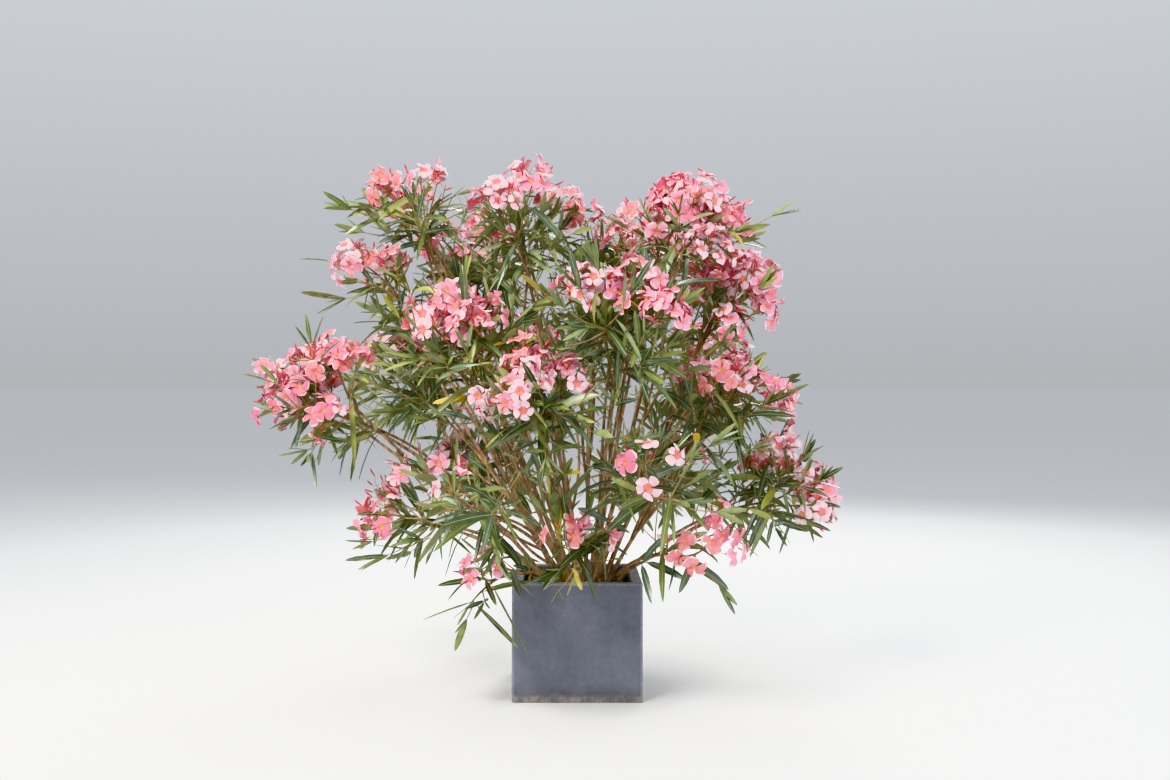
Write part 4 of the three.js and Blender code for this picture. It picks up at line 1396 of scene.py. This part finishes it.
def make_stage():
    """A plain pale floor, a pale sky, and large soft lamps."""
    mesh = bpy.data.meshes.new("studio_floor")
    corners = [(x * FLOOR_HALF, y * FLOOR_HALF, 0) for x, y in ((-1, -1), (1, -1), (1, 1), (-1, 1))]
    mesh.from_pydata(corners, [], [(0, 1, 2, 3)])
    floor = bpy.data.objects.new("studio_floor", mesh)
    bpy.context.scene.collection.objects.link(floor)
    mesh.materials.append(make_material("studio_floor", FLOOR_COLOUR, FLOOR_COLOUR, roughness=0.9, scale=1))
    world = bpy.data.worlds.new("studio")
    bpy.context.scene.world = world
    sky = Nodes(world, "Generated")
    colour = sky.ramp(sky.parts()[2], (0, SKY_LOW), (SKY_HIGH_FROM, SKY_HIGH))
    sky.feed(sky.tree.nodes["Background"], {"Color": colour, "Strength": SKY_STRENGTH})
    for name, place, size, power, colour in LAMPS:
        data = bpy.data.lights.new(name, "AREA")
        data.size = size
        data.energy = power
        data.color = colour
        lamp = bpy.data.objects.new(name, data)
        lamp.location = place
        lamp.rotation_euler = (LAMPS_AIM - Vector(place)).to_track_quat("-Z", "Y").to_euler()
        bpy.context.scene.collection.objects.link(lamp)


def make_view():
    """A camera where the photograph was taken from, and colours shown as they are."""
    bpy.context.scene.view_settings.view_transform = "Khronos PBR Neutral"
    data = bpy.data.cameras.new("camera")
    data.lens = CAMERA_LENS
    data.sensor_width = CAMERA_SENSOR
    data.shift_x, data.shift_y = CAMERA_SHIFT
    camera = bpy.data.objects.new("camera", data)
    camera.location = CAMERA_PLACE
    camera.rotation_euler = (math.pi / 2, 0, 0)
    bpy.context.scene.collection.objects.link(camera)
    bpy.context.scene.camera = camera


def dress(stalk, mass, low, truss, leaves, heap, random):
    """Leaves along a stalk from a low share on, and at its tip a truss, where it has one, or else a tuft."""
    if truss:
        add_leaves(leaves, stalk, mass, low, truss["leafy"], truss["leaf_open"], random)
        build_truss(heap, stalk, mass, truss, random)
    else:
        add_leaves(leaves, stalk, mass, low, LEAFY_TIP, LEAF_OPEN_TIP, random)
        add_tuft(leaves, stalk, mass, random)


def make_plant():
    """Stems, twigs, leaves and blossom, each kind joined into pieces that stand for their masses' nodes."""
    bark, rind = bark_materials()
    stems = Kind("stem_bark", "stems", [bark], sharp_degrees=40)
    boughs = Kind("boughs", "stems", [bark], sharp_degrees=50)
    fine = Kind("twigs", "stems", [rind], sharp_degrees=50)
    leafage = Kind("leaves", "foliage", leaf_materials(), sharp_degrees=70)
    blossom = Kind("blossom", "foliage", blossom_materials(), sharp_degrees=45)
    for mass in masses:
        random = np.random.default_rng(PLANT_SEED + mass.number)
        twigs = grow_twigs(mass)
        build_stem(stems.heap, mass, twigs)
        for arc in grow_boughs(mass, twigs, random):
            boughs.heap.add_stalks(arc, BOUGH_RADII, BOUGH_MESH)
        leaves = []
        for order, twig in enumerate(twigs):
            in_flower = order < mass.trusses
            if order:
                fine.heap.add_stalks(twig.arcs[0], TWIG_RADII, TWIG_MESH)
            shoots = grow_shoots(twig, mass, in_flower, random)
            for place, shoot in enumerate(shoots):
                if random.uniform() > mass.bushy:
                    continue
                fine.heap.add_stalks(shoot.arcs[0], SHOOT_RADII, SHOOT_MESH)
                last = place >= len(shoots) - mass.shoots_in_flower
                truss = SMALL_TRUSS if in_flower and last else None
                dress(shoot, mass, LEAFY_SHOOT, truss, leaves, blossom.heap, random)
            low = LEAFY_TWIG if order else LEAFY_LEADER
            dress(twig, mass, low, FULL_TRUSS if in_flower else None, leaves, blossom.heap, random)
        build_leaves(leafage.heap, free_leaves(leaves, mass, random))
        stems.end_mass(f"stem_{mass.name}")
        leafage.end_mass(f"foliage_{mass.name}")
        for kind in (boughs, fine, blossom):
            kind.end_mass()
    for kind in (stems, boughs, fine, leafage, blossom):
        kind.close()


box_low = np.array(cad_low)
box_high = np.array(cad_high)
masses = place_masses()
grow_limbs(masses)
stem_field = StemField(masses)
make_view()
make_stage()
make_pot()
make_soil()
make_litter()
make_plant()
